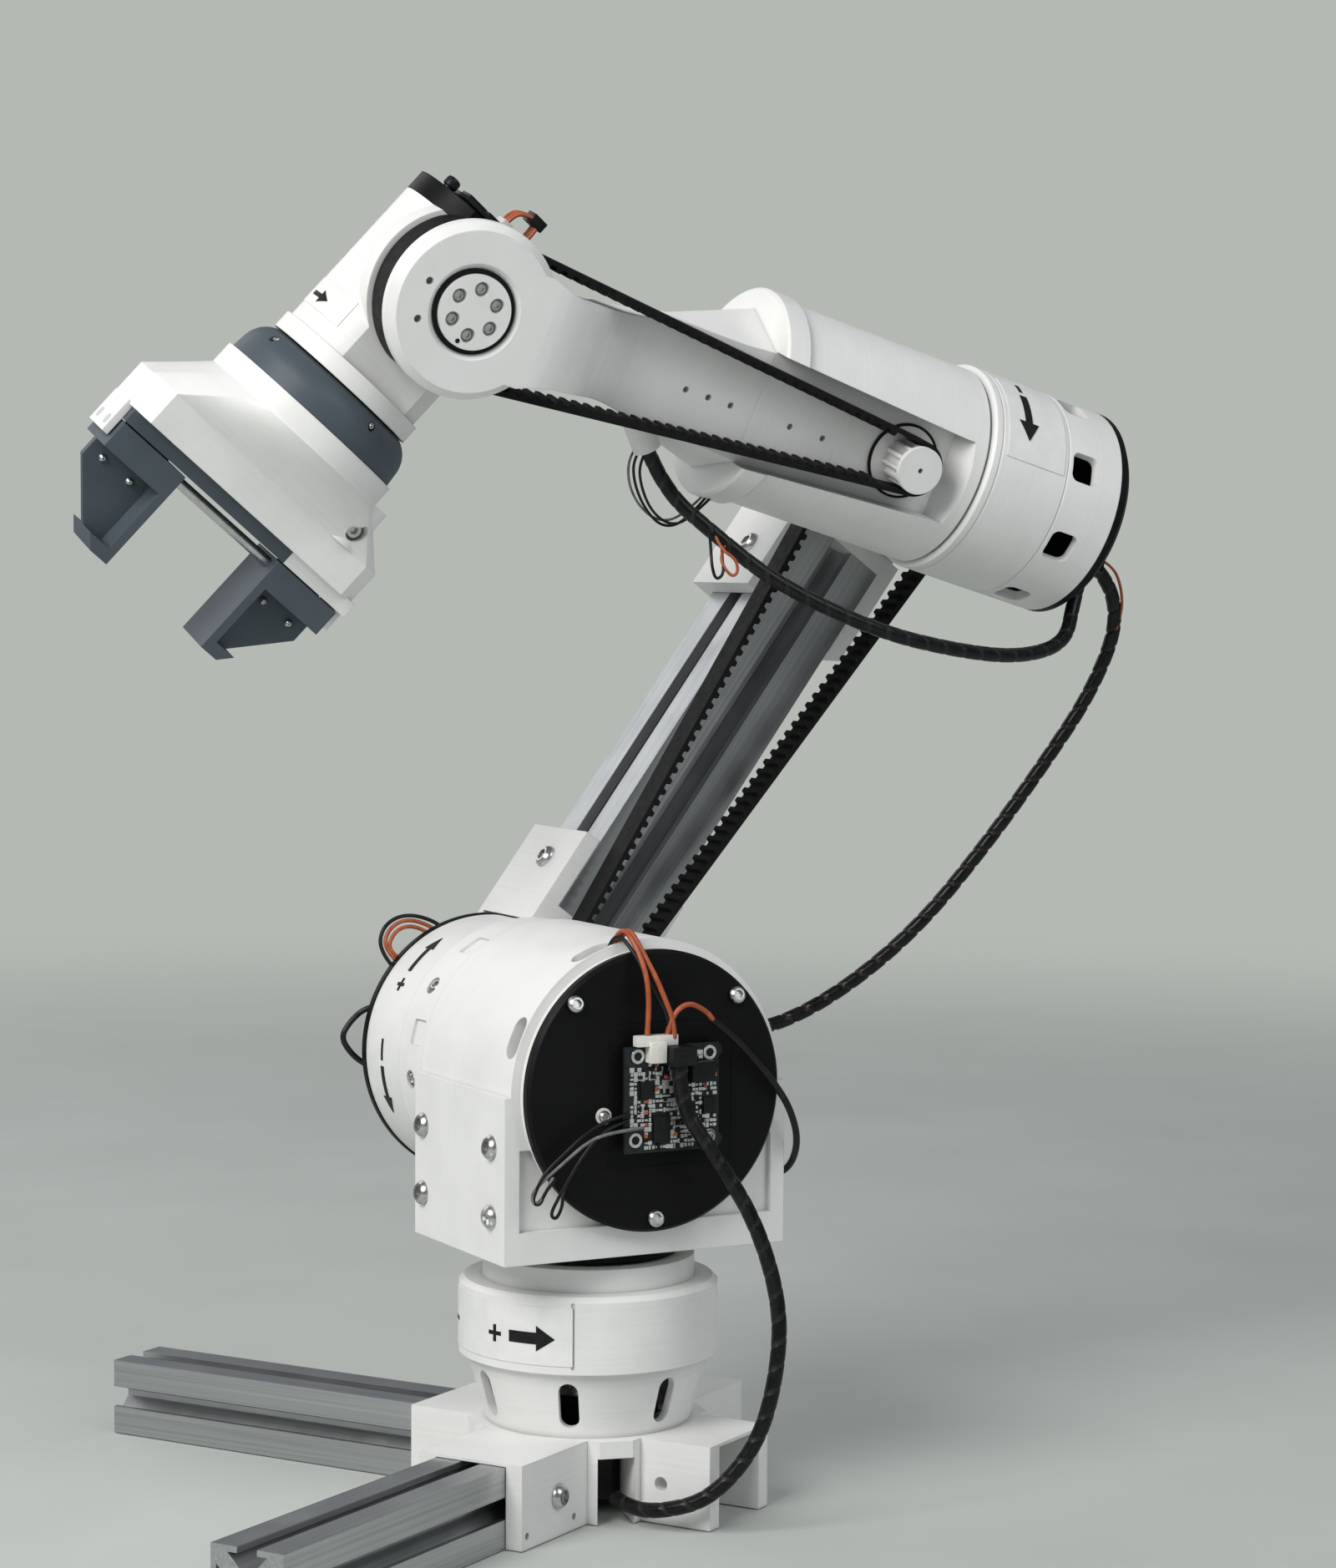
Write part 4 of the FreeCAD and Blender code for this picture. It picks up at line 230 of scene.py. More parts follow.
wireBlack = mottled("wire_black", (0.005, 0.005, 0.005), (0.012, 0.012, 0.012), 0.34, scale=300.0,
                    specular=0.3)
wireGrey = mottled("wire_grey", (0.1, 0.1, 0.1), (0.22, 0.22, 0.22), 0.4, scale=300.0)
sleeveBlack = mottled("sleeve_black", (0.004, 0.004, 0.0045), (0.011, 0.011, 0.012), 0.25, scale=260.0,
                      specular=0.22)
gapGrey = mottled("gap_grey", (0.003, 0.003, 0.003), (0.012, 0.012, 0.013), 0.5, scale=300.0)
gapWarm = mottled("gap_warm", (0.003, 0.003, 0.003), (0.022, 0.009, 0.005), 0.5, scale=300.0)
markInk = mottled("mark_ink", (0.008, 0.008, 0.009), (0.018, 0.018, 0.019), 0.5, scale=350.0, specular=0.15)
labelFilm = mottled("label_film", (0.74, 0.74, 0.725), (0.81, 0.81, 0.795), 0.36, scale=150.0)
print("materials made:", len(bpy.data.materials))

# Which finish each solid of the frame gets
slotFinish = {
    "printed_white": whiteUpright, "printed_black": blackSideways, "slate_print": slateWrist,
    "anodised_profile": aluminiumArm, "screw_steel": screwSteel, "motor_case": motorBlack,
    "belt_rubber": beltRubber, "board_laminate": boardBlack, "cable_sleeve": sleeveBlack,
}
nodeFinish = {
    "shoulder_block": whiteSideways, "root_housing": whiteSideways, "belt_ring": whiteSideways,
    "elbow_bracket": whiteSideways, "lower_bracket": whiteArm, "roll_housing": whiteForearm,
    "forearm_tube": whiteForearm, "yoke_arm": whiteYoke, "wrist_hub": whiteYoke,
    "wrist_drive_pulley": whiteYoke, "wrist_pulley": whiteYoke, "wrist_body": whiteWrist,
    "gripper_body": whiteWrist, "roll_cover": blackRoll, "wrist_cover": blackWrist,
    "tool_adapter": slateAdapter, "turntable": blackUpright, "front_leg": aluminiumFront,
    "left_leg": aluminiumLeft,
}
for row in frame["record"]["subparts"]:
    if row["node"] in frame["nodes"]:
        solid = frame["nodes"][row["node"]]
        solid.data.materials.clear()
        solid.data.materials.append(nodeFinish.get(row["node"], slotFinish[row["material_slot"]]))
print("solids finished")


# Added pieces get their finishes, smooth shading with sharp edges, and their body here; meshFrom turns
# their faces outward
def keepPiece(name, mesh, materials, body, sharp=32):
    for material in materials:
        mesh.materials.append(material)
    mesh.polygons.foreach_set("use_smooth", [True] * len(mesh.polygons))
    mesh.set_sharp_from_angle(angle=math.radians(sharp))
    piece = bpy.data.objects.new(name, mesh)
    scene.collection.objects.link(piece)
    if body:
        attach(piece, body)
    return piece


def meshFrom(name, work, outward=True):
    if outward:
        bmesh.ops.recalc_face_normals(work, faces=work.faces[:])
    mesh = bpy.data.meshes.new(name)
    work.to_mesh(mesh)
    work.free()
    return mesh


# Cables and wires: smooth lines whose control points are the route's points
def smoothLine(name, points, link, steps=16):
    curve = bpy.data.curves.new(name, "CURVE")
    curve.dimensions = "3D"
    curve.resolution_u = steps
    spline = curve.splines.new("NURBS")
    spline.points.add(len(points) - 1)
    for spot, point in zip(spline.points, points):
        spot.co = (*onLink(link, point), 1)
    spline.order_u = 3
    spline.use_endpoint_u = True
    piece = bpy.data.objects.new(name, curve)
    scene.collection.objects.link(piece)
    return piece


def lineSpots(piece):
    bpy.context.view_layer.update()
    mesh = bpy.data.meshes.new_from_object(piece)
    spots = [v.co.copy() for v in mesh.vertices]
    bpy.data.meshes.remove(mesh)
    return spots


# The spots along a line that is not itself kept
def routeSpots(points, link, steps=16):
    line = smoothLine("route", points, link, steps)
    spots = lineSpots(line)
    bpy.data.objects.remove(line)
    return spots


def lineLength(spots):
    return sum((b - a).length for a, b in zip(spots, spots[1:]))


# A round tube along a line; each ring may vary its reach
def tubeRings(work, spots, columns, reachAt):
    across = None
    travelled = 0.0
    rows = []
    for i, spot in enumerate(spots):
        ahead = (spots[min(i + 1, len(spots) - 1)] - spots[max(i - 1, 0)]).normalized()
        if across is None:
            across = ahead.orthogonal()
        across = (across - ahead * across.dot(ahead)).normalized()
        side = ahead.cross(across)
        if i:
            travelled += (spot - spots[i - 1]).length
        ring = []
        for j in range(columns):
            angle = 2 * math.pi * j / columns
            reach = reachAt(travelled, j / columns)
            ring.append(work.verts.new(spot + (across * math.cos(angle) + side * math.sin(angle)) * reach))
        rows.append(ring)
    work.faces.new(list(reversed(rows[0])))
    work.faces.new(rows[-1])
    return rows


def skin(work, rows, pick):
    for i in range(len(rows) - 1):
        for j in range(len(rows[i])):
            k = (j + 1) % len(rows[i])
            face = work.faces.new((rows[i][j], rows[i][k], rows[i + 1][k], rows[i + 1][j]))
            face.material_index = pick(i, face)


harness = {"radius": 2.9, "pitch": 9.0, "gap": 0.11, "slope": 14.0, "rim": 0.6, "columns": 22, "steps": 44,
           "strand": 0.6, "strandColumns": 10}


# A spiral wrap is a tube with a raised helical band; the wires inside show in the narrow gap
def spiralWrap(name, points, depth):
    spots = routeSpots(points, worldLink, harness["steps"])
    radius = harness["radius"] * mm

    def reachAt(travelled, share):
        phase = (travelled / (harness["pitch"] * mm) - share) % 1.0
        lift = min(1.0, max(0.0, min(phase, 1.0 - harness["gap"] - phase) * harness["slope"]))
        return radius * (1.0 - depth * (1.0 - lift))

    def band(i, face):
        middle = (spots[i] + spots[i + 1]) / 2
        reach = (face.calc_center_median() - middle).length
        return 0 if reach > radius * (1 - depth * harness["rim"]) else 1

    work = bmesh.new()
    skin(work, tubeRings(work, spots, harness["columns"], reachAt), band)
    return meshFrom(name, work), spots


# Routes as in the part's source; loops are single strands that leave the wrap and go back into it
harnessRoutes = {
    "base_cable": {
        "points": [(pitchLink, [(-4.5, 64.1, 10.75), (-4.5, 64.1, -3.25), (-15, 70, -21.3),
                                (-30, 76, -46.3)]),
                   (worldLink, [(-38.8, 80, 85.5), (-36, 83, 60), (-28.5, 82, 34), (-13, 75, 14.2),
                                (0, 62, 8), (7, 50, 7), (7.6, 38, 8.5)])],
        "bodies": ("shoulder", "base"),
        "bend": ((worldLink, (-12, 68, 148)), (worldLink, (-13, 75, 14.2))),
        "inside": gapGrey, "depth": 0.06, "loops": []},
    "elbow_cable": {
        "points": [(elbowLink, [(-55, -8, -12), (-74, -8, -12), (-96.2, -12.5, -29.3), (-97.6, -21, -61.7),
                                (-88.5, -31, -98.6)]),
                   (pitchLink, [(-205, -40, 77.7), (-179, -50, 43.7), (-148, -59, 17.7), (-120, -68, 2.7),
                                (-91.4, -74, 0), (-63.4, -74, 0)])],
        "bodies": ("forearm_base", "upper_arm"),
        "bend": ((worldLink, (-250, -12, 345)), (worldLink, (-92, -74, 163.3))),
        "inside": gapWarm, "depth": 0.15,
        "loops": [(wireOrange, [(-70, -6.6, -11.4), (-82, -7, -11.8), (-91, -8.6, -20), (-95.6, -10.6, -31),
                                (-96, -14.5, -44)])]},
    "forearm_cable": {
        "points": [(elbowLink, [(-57, 10, -21), (-57, 10, -36), (-52.7, 18, -53.7), (-29.1, 25, -65.7),
                                (2, 30, -71.8), (42.1, 32, -75), (85.8, 24, -68.5), (110.7, 14, -56.9)]),
                   (forearmLink, [(133, 18, -42), (146, 18, -29)])],
        "bodies": ("forearm_base", "forearm"),
        "bend": ((elbowLink, (0, 29, -71)), (elbowLink, (115, 14, -56))),
        "inside": gapGrey, "depth": 0.06,
        "loops": [(wireOrange, [(112, 15.5, -57), (110.5, 20.5, -62.5), (105, 22.5, -64),
                                (102.2, 22.5, -68), (103.5, 22.5, -71.2), (107.5, 22, -69.5),
                                (110.5, 20.5, -65), (107.5, 17, -59.5)]),
                  (wireBlack, [(114.5, 14.5, -55.5), (114.6, 20, -63.5), (113.4, 22, -70),
                               (110.2, 22, -74.4), (107.6, 22, -71), (109.4, 20.5, -65),
                               (109, 16.5, -59)])]},
}
for node, settings in harnessRoutes.items():
    route = [link @ Vector(point) for link, points in settings["points"] for point in points]
    wrapName = node + "_wrap"
    mesh, spots = spiralWrap(wrapName, route, settings["depth"])
    wrap = keepPiece(wrapName, mesh, [sleeveBlack, settings["inside"]], None, sharp=50)
    first, last = settings["bodies"]
    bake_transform(wrap)
    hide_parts(node)
    for number, (material, points) in enumerate(settings["loops"]):
        name = "%s_strand_%d" % (node, number + 1)
        work = bmesh.new()
        rows = tubeRings(work, routeSpots(points, elbowLink), harness["strandColumns"],
                         lambda travelled, share: harness["strand"] * mm)
        skin(work, rows, lambda i, face: 0)
        strand = keepPiece(name, meshFrom(name, work), [material], None, sharp=60)
        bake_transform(strand)
    print(node, "wrapped, %.0f mm" % (lineLength(spots) * 1000))


def roundLine(name, points, radius, link):
    line = smoothLine(name, points, link)
    line.data.bevel_depth = radius * mm
    line.data.bevel_resolution = 3
    line.data.use_fill_caps = True
    return line


# A thin wire is a round line from one fixed end to the other
def thinWire(name, points, radius, material, body, link):
    length = lineLength(routeSpots(points, link))
    wire = roundLine(name, points, radius, link)
    wire.data.materials.append(material)
    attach(wire, body)
    print("  %s %.0f mm" % (name, length * 1000))


# A jumper is too short for a cord: the same round line, kept as a plain piece
def jumper(name, points, radius, material, body, link):
    line = roundLine(name + "_line", points, radius, link)
    bpy.context.view_layer.update()
    mesh = bpy.data.meshes.new_from_object(line)
    bpy.data.objects.remove(line)
    mesh.materials.clear()
    return keepPiece(name, mesh, [material], body, sharp=60)


# Wires by body: radius, colour, and points in the link's frame from one fixed end to the other
wires = {
    "shoulder": (pitchLink, {
        "board_wire_power_a": (1.0, wireOrange, [
            (13, 42.5, 48), (12.4, 43.5, 55.4), (10.5, 48, 60.5), (9.6, 56, 54.5), (8.2, 61.5, 45),
            (7.5, 62.4, 36), (7.6, 62.2, 28), (7.8, 61.6, 20.5)]),
        "board_wire_power_b": (1.0, wireOrange, [
            (10.6, 42.5, 48.6), (10, 44, 56), (8.8, 49, 60.6), (7, 56.5, 52), (4.2, 61.8, 43),
            (1.3, 62.8, 35.7), (-2.5, 63, 27), (-3.2, 62.4, 20.5)]),
        "board_wire_sense": (0.75, wireBlack, [
            (15, 42.5, 47.4), (14.8, 44, 53.6), (13, 48.5, 58.5), (11, 56, 53), (8, 60.6, 44),
            (4, 62, 36.5), (-1, 62.4, 28), (-1.4, 61.8, 20.5)]),
        "board_wire_signal_a": (1.0, wireOrange, [
            (-0.6, 61.4, 20.5), (-1, 63, 28), (-7.5, 64, 34), (-16, 63, 30), (-20, 62.4, 25.5),
            (-25, 61.6, 22)]),
        "board_wire_signal_b": (1.35, wireBlack, [
            (-19, 62.5, 26.4), (-27, 61.4, 21), (-39.8, 59.5, 9.1), (-48.8, 58, -0.4), (-56, 56.5, -10),
            (-61, 54, -22), (-63, 46, -33), (-61, 38, -38), (-57, 34, -40)]),
        "board_wire_phase_a": (0.65, wireBlack, [
            (14.2, 60, -6.9), (22, 62, -7.5), (31.7, 61.5, -11.7), (41.3, 60.5, -19.8), (47.9, 59.5, -25.8),
            (51, 58.5, -32), (52, 57, -37), (48.6, 56.5, -38.5), (46.4, 56, -34), (43, 55.2, -31),
            (40, 53.2, -29.5)]),
        "board_wire_phase_b": (0.65, wireBlack, [
            (14.2, 60, -9.1), (25.6, 62.5, -11.1), (34.1, 62, -20.3), (38.9, 60.5, -28.7), (42.5, 59, -36),
            (45, 57.5, -42), (42, 56.5, -44.2), (39.2, 56, -39.5), (38.6, 55, -34.5), (36, 53.2, -32.5)]),
        "board_wire_phase_c": (0.65, wireGrey, [
            (8.4, 60, -12.3), (21.9, 62.8, -12.4), (31.7, 62.2, -15), (42.5, 60.2, -24), (49.7, 58.5, -30),
            (52.6, 57.5, -34.5), (51, 56.8, -38), (47.6, 56.2, -36.5), (44.6, 55, -32.5),
            (41.4, 53.2, -28.6)]),
    }),
    "upper_arm": (pitchLink, {
        "root_wire_orange_a": (0.8, wireOrange, [
            (19.5, -94.5, 45.5), (22, -98.5, 48.5), (32, -99.5, 51.5), (40, -99, 47.5), (42.4, -98, 40),
            (37.5, -94.5, 34.5)]),
        "root_wire_orange_b": (0.8, wireOrange, [
            (21.5, -94.5, 43.5), (24, -97.5, 46.5), (32, -98, 49), (38.2, -98, 46), (41, -97.5, 39),
            (36, -94.5, 35.5)]),
        "root_wire_black": (0.8, wireBlack, [
            (17, -94.5, 46.5), (19, -99, 50), (32, -100.5, 53.5), (42, -100, 48.8), (44.2, -98.5, 39),
            (39, -94.5, 32)]),
        "root_wire_lower": (1.2, wireBlack, [
            (47.5, -94.2, 17.5), (50.5, -98, 16.5), (56.5, -98.5, 11.5), (60.5, -98.5, 5.5),
            (57, -98.5, -0.5), (51.5, -98, -5.5), (48, -94.2, -7)]),
    }),
    "forearm": (forearmLink, {
        "relief_wire_a": (0.55, wireBlack, [
            (147.5, 17.6, -26.5), (149.5, 17, -34), (145, 16, -43), (136, 15, -51.5), (125, 13, -56.5),
            (116, 11.5, -52), (110.5, 10, -39.5)]),
        "relief_wire_b": (0.55, wireBlack, [
            (146, 18.8, -27), (147.5, 18.5, -35), (141.5, 17.5, -44.5), (132.5, 16, -52),
            (122.5, 14.5, -54.5), (115.5, 13, -50), (109.5, 12, -39)]),
        "relief_wire_c": (0.5, wireGrey, [
            (148.5, 16.6, -26), (151, 16, -33), (147.5, 15.2, -43), (139, 14, -51), (127.5, 12, -55),
            (117.5, 10, -51), (111.5, 8.6, -40)]),
    }),
}
for body, (link, rows) in wires.items():
    for name, (radius, material, points) in rows.items():
        thinWire(name, points, radius, material, body, link)
print("thin wires:", sum(len(rows) for link, rows in wires.values()))

panel = {"strip": 1.6, "sink": 0.25}


# Marks and labels lie on the round housings: a flat outline is cut into strips and bent on
def bentPanel(name, outlinePoints, link, axis, radius, body, at, angle, thickness, material):
    work = bmesh.new()
    face = work.faces.new([work.verts.new((u, v, -panel["sink"])) for u, v in outlinePoints])
    for item in bmesh.ops.extrude_face_region(work, geom=[face])["geom"]:
        if isinstance(item, bmesh.types.BMVert):
            item.co.z = thickness
    bmesh.ops.triangulate(work, faces=work.faces[:])
    low, high = min(v for u, v in outlinePoints), max(v for u, v in outlinePoints)
    for step in range(1, int((high - low) / panel["strip"])):
        geom = work.verts[:] + work.edges[:] + work.faces[:]
        cut = (0, low + step * panel["strip"], 0)
        bmesh.ops.bisect_plane(work, geom=geom, plane_co=cut, plane_no=upY)
    for vert in work.verts:
        u, v, t = vert.co
        turn = math.radians(angle) + v / radius
        c, s = (radius + t) * math.cos(turn), (radius + t) * math.sin(turn)
        spot = {"X": (at + u, c, s), "Y": (c, at + u, s), "Z": (c, s, at + u)}[axis]
        vert.co = onLink(link, spot)
    return keepPiece(name, meshFrom(name, work), [material], body, sharp=40)


def arrowShape(length, shaft, head, headLength):
    neck = length / 2 - headLength
    return [(-shaft / 2, -length / 2), (shaft / 2, -length / 2), (shaft / 2, neck), (head / 2, neck),
            (0, length / 2), (-head / 2, neck), (-shaft / 2, neck)]


def plusShape(size, width):
    a, b = size / 2, width / 2
    return [(-b, -a), (b, -a), (b, -b), (a, -b), (a, b), (b, b), (b, a), (-b, a), (-b, b), (-a, b),
            (-a, -b), (-b, -b)]


def bar(width, length):
    return [(-width / 2, -length / 2), (width / 2, -length / 2), (width / 2, length / 2),
            (-width / 2, length / 2)]


def flipped(shape):
    return [(u, -v) for u, v in reversed(shape)]


# The round faces that carry marks: link, axis, radius and body; the roll marks lie on their label
rounds = {
    "collar": (worldLink, "Z", 49.5, "base"),
    "root": (armLink, "Y", 52.4, "upper_arm"),
    "wrist": (wristLink, "X", 30.0, "wrist"),
    "roll": (elbowLink, "X", 42.0, "forearm_base"),
    "rollLabel": (elbowLink, "X", 42.3, "forearm_base"),
}
# Each mark: its round face, outline, place along the axis, angle, thickness and finish
marks = {
    "collar_label": ("collar", bar(22, 72), 71.5, 14.8, 0.25, labelFilm),
    "collar_plus": ("collar", plusShape(6.4, 1.5), 70.5, 18.6, 0.4, markInk),
    "collar_arrow": ("collar", arrowShape(19, 4.4, 9.6, 7.4), 70.5, 37.8, 0.4, markInk),
    "collar_minus": ("collar", bar(1.5, 6.0), 70.5, -19.6, 0.4, markInk),
    "root_plus": ("root", plusShape(5.6, 1.4), -76.5, -4.0, 0.3, markInk),
    "root_arrow_up": ("root", arrowShape(19, 2.6, 7.4, 7.0), -76.5, 13.2, 0.3, markInk),
    "root_minus": ("root", bar(1.4, 8.5), -76.5, -33.4, 0.3, markInk),
    "root_arrow_down": ("root", flipped(arrowShape(19.5, 2.6, 7.4, 7.0)), -76.5, -51.3, 0.3, markInk),
    "wrist_label": ("wrist", bar(11.5, 31), 30.5, 80.5, 0.25, labelFilm),
    "wrist_arrow": ("wrist", flipped(arrowShape(12.5, 1.8, 5.4, 5.6)), 31.5, 84, 0.4, markInk),
    "roll_label": ("roll", bar(27.5, 40.5), -3.2, 34.5, 0.3, labelFilm),
    "roll_minus": ("rollLabel", bar(1.6, 5.5), 1.0, 57.5, 0.2, markInk),
    "roll_arrow": ("rollLabel", flipped(arrowShape(23, 3.4, 9.4, 8.4)), 1.0, 34.5, 0.2, markInk),
}
for name, (roundName, shape, at, angle, thickness, material) in marks.items():
    bentPanel(name, shape, *rounds[roundName], at, angle, thickness, material)
print("marks and labels:", len(marks))


# Both node groups take points, numbers and a finish, and give painted solids
def newGroup(name, numbers):
    tree = bpy.data.node_groups.new(name, "GeometryNodeTree")
    tree.interface.new_socket("Points", in_out="INPUT", socket_type="NodeSocketGeometry")
    for key, value in numbers.items():
        kind = "NodeSocketInt" if isinstance(value, int) else "NodeSocketFloat"
        tree.interface.new_socket(key, in_out="INPUT", socket_type=kind).default_value = value
    tree.interface.new_socket("Finish", in_out="INPUT", socket_type="NodeSocketMaterial")
    tree.interface.new_socket("Solids", in_out="OUTPUT", socket_type="NodeSocketGeometry")
    return tree, tree.nodes.new("NodeGroupInput").outputs


def endGroup(tree, placed, finish):
    real = addNode(tree, "GeometryNodeRealizeInstances", Geometry=placed)
    painted = addNode(tree, "GeometryNodeSetMaterial", Geometry=real, Material=finish)
    tree.links.new(painted.outputs[0], tree.nodes.new("NodeGroupOutput").inputs[0])
    return tree


def movedUp(tree, geometry, length, share):
    lift = addNode(tree, "ShaderNodeCombineXYZ", Z=maths(tree, "MULTIPLY", length, share))
    return addNode(tree, "GeometryNodeTransform", Geometry=geometry, Translation=lift)


# Screws: a domed head with a hexagon socket on every point, turned to the point's aim
def screwTree():
    tree, given = newGroup("socketScrews", {"Head Height": 0.56, "Dome": 0.34, "Socket Width": 0.5,
                                            "Shank Length": 1.6})
    tall, deep = given["Head Height"], given["Shank Length"]
    head = addNode(tree, "GeometryNodeMeshCylinder", Vertices=28, Side_Segments=5, Radius=1.0, Depth=tall)
    spot = addNode(tree, "GeometryNodeInputPosition")
    parts = addNode(tree, "ShaderNodeSeparateXYZ", Vector=spot)
    share = maths(tree, "ADD", maths(tree, "DIVIDE", parts.outputs["Z"], tall), 0.5)
    waist = maths(tree, "MULTIPLY", maths(tree, "POWER", share, 2.2), given["Dome"])
    girth = maths(tree, "SUBTRACT", 1.0, waist)
    across = addNode(tree, "ShaderNodeCombineXYZ", X=girth, Y=girth, Z=1.0)
    domed = addNode(tree, "ShaderNodeVectorMath", {"operation": "MULTIPLY"}, i0=spot, i1=across)
    dome = addNode(tree, "GeometryNodeSetPosition", Geometry=head, Position=domed)
    hexagon = addNode(tree, "GeometryNodeMeshCylinder", Vertices=6, Radius=given["Socket Width"],
                      Depth=tall)
    socketed = addNode(tree, "GeometryNodeMeshBoolean", {"operation": "DIFFERENCE"},
                       i0=movedUp(tree, dome, tall, 0.5), i1=movedUp(tree, hexagon, tall, 0.86))
    shank = addNode(tree, "GeometryNodeMeshCylinder", Vertices=16, Radius=0.52, Depth=deep)
    whole = addNode(tree, "GeometryNodeJoinGeometry", Geometry=socketed)
    feed(tree, whole, Geometry=movedUp(tree, shank, deep, -0.48))
    aim = addNode(tree, "GeometryNodeInputNamedAttribute", {"data_type": "FLOAT_VECTOR"}, Name="aim")
    grow = addNode(tree, "GeometryNodeInputNamedAttribute", {"data_type": "FLOAT"}, Name="grow")
    turn = addNode(tree, "FunctionNodeAlignRotationToVector", {"axis": "Z"}, Vector=aim)
    placed = addNode(tree, "GeometryNodeInstanceOnPoints", Points=given["Points"], Instance=whole,
                     Rotation=turn, Scale=grow)
    return endGroup(tree, placed, given["Finish"])


def inputId(tree, name):
    sockets = [item for item in tree.interface.items_tree if item.in_out == "INPUT"]
    return [item.identifier for item in sockets if item.name == name][0]


def grown(name, mesh, tree, inputs):
    carrier = bpy.data.objects.new(name + "_points", mesh)
    scene.collection.objects.link(carrier)
    modifier = carrier.modifiers.new(name, "NODES")
    modifier.node_group = tree
    for key, value in inputs.items():
        modifier[inputId(tree, key)] = value
    bpy.context.view_layer.update()
    result = bpy.data.meshes.new_from_object(carrier.evaluated_get(bpy.context.evaluated_depsgraph_get()))
    bpy.data.objects.remove(carrier)
    result.materials.clear()
    return result


socketScrews = screwTree()


def driveScrews(name, rows, body, settings):
    mesh = bpy.data.meshes.new(name + "_spots")
    mesh.from_pydata([spot for spot, aim, size in rows], [], [])
    aims = mesh.attributes.new("aim", "FLOAT_VECTOR", "POINT")
    aims.data.foreach_set("vector", [part for spot, aim, size in rows for part in aim])
    sizes = mesh.attributes.new("grow", "FLOAT", "POINT")
    sizes.data.foreach_set("value", [size for spot, aim, size in rows])
    solids = grown(name, mesh, socketScrews, {**settings, "Finish": screwSteel})
    return keepPiece(name, solids, [screwSteel], body, sharp=30)


# The frame's own bolts are plain cones, so each is found in its node and gets a finished head
def boltsIn(node):
    work = bmesh.new()
    work.from_mesh(frame["nodes"][node].data)
    bmesh.ops.remove_doubles(work, verts=work.verts[:], dist=1e-6)
    rows, seen = [], set()
    for start in work.verts:
        if start.index in seen:
            continue
        island, queue = [], [start]
        seen.add(start.index)
        while queue:
            vert = queue.pop()
            island.append(vert.co.copy())
            for edge in vert.link_edges:
                other = edge.other_vert(vert)
                if other.index not in seen:
                    seen.add(other.index)
                    queue.append(other)
        rows.append(boltFrom(island))
    work.free()
    return rows


boltSearch = {"rounds": 6, "ringShare": 6, "leastPoints": 6, "seat": 0.97}


def boltFrom(points):
    # the farthest pair of points gives a first line, and the middles of its two end rings give the axis
    heart = sum(points, Vector()) / len(points)
    tip = max(points, key=lambda p: (p - heart).length)
    tail = max(points, key=lambda p: (p - tip).length)
    line = (tip - tail).normalized()
    count = max(boltSearch["leastPoints"], len(points) // boltSearch["ringShare"])
    for _ in range(boltSearch["rounds"]):
        reach = sorted(points, key=lambda p: p.dot(line))
        line = (sum(reach[-count:], Vector()) / count - sum(reach[:count], Vector()) / count).normalized()

    def girth(p):
        off = p - heart
        return (off - line * off.dot(line)).length

    wide = max(girth(p) for p in points)
    seat = [p for p in points if girth(p) > wide * boltSearch["seat"]]
    foot = sum(seat, Vector()) / len(seat)
    aim = line if (foot - heart).dot(line) > 0 else -line
    return heart + aim * (foot - heart).dot(aim), aim, wide


for node, body in (("leg_bolts", "base"), ("shoulder_screws", "shoulder"), ("ring_bolts", "upper_arm"),
                   ("bracket_bolts", "upper_arm")):
    rows = boltsIn(node)
    heads = driveScrews(node + "_finished", rows, body, {})
    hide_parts(node)
    print(node, len(rows), "screws, heads of", sorted({round(row[2] * 1000, 1) for row in rows}), "mm")


# The board: small parts on a seeded grid, and the connectors and chips that stand out
def boardTree():
    tree, given = newGroup("boardParts", {"Keep": 0.62, "Length": 0.0022, "Width": 0.0011, "Height": 0.0009,
                                          "Seed": 7})
    tall, seed = given["Height"], given["Seed"]
    chance = addNode(tree, "FunctionNodeRandomValue", {"data_type": "BOOLEAN"}, Probability=given["Keep"],
                     Seed=seed)
    spots = addNode(tree, "GeometryNodeMeshToPoints", Mesh=given["Points"],
                    Selection=chance.outputs["Value"])
    least = addNode(tree, "ShaderNodeCombineXYZ", X=given["Width"], Y=tall, Z=given["Width"])
    most = addNode(tree, "ShaderNodeCombineXYZ", X=given["Length"], Y=tall, Z=given["Length"])
    size = addNode(tree, "FunctionNodeRandomValue", {"data_type": "FLOAT_VECTOR"}, i0=least, i1=most,
                   Seed=seed)
    block = addNode(tree, "GeometryNodeMeshCube", Size=(1.0, 1.0, 1.0))
    placed = addNode(tree, "GeometryNodeInstanceOnPoints", Points=spots, Instance=block, Scale=size)
    return endGroup(tree, placed, given["Finish"])


# A block with broken edges, between two corners in a link's frame
def softBlock(work, link, low, high, edge):
    made = bmesh.ops.create_cube(work, size=1.0)["verts"]
    middle = (Vector(low) + Vector(high)) / 2
    span = Vector(high) - Vector(low)
    for vert in made:
        vert.co = middle + Vector(a * b for a, b in zip(vert.co, span))
    edges = list({e for v in made for e in v.link_edges})
    done = bmesh.ops.bevel(work, geom=edges, offset=edge, segments=2, profile=0.6, affect="EDGES")
    for vert in {v for f in done["faces"] for v in f.verts} | {v for v in made if v.is_valid}:
        vert.co = onLink(link, vert.co)


def blocks(name, rows, link, material, body, edge=0.3):
    work = bmesh.new()
    for low, high in rows:
        softBlock(work, link, low, high, edge)
    return keepPiece(name, meshFrom(name, work), [material], body)


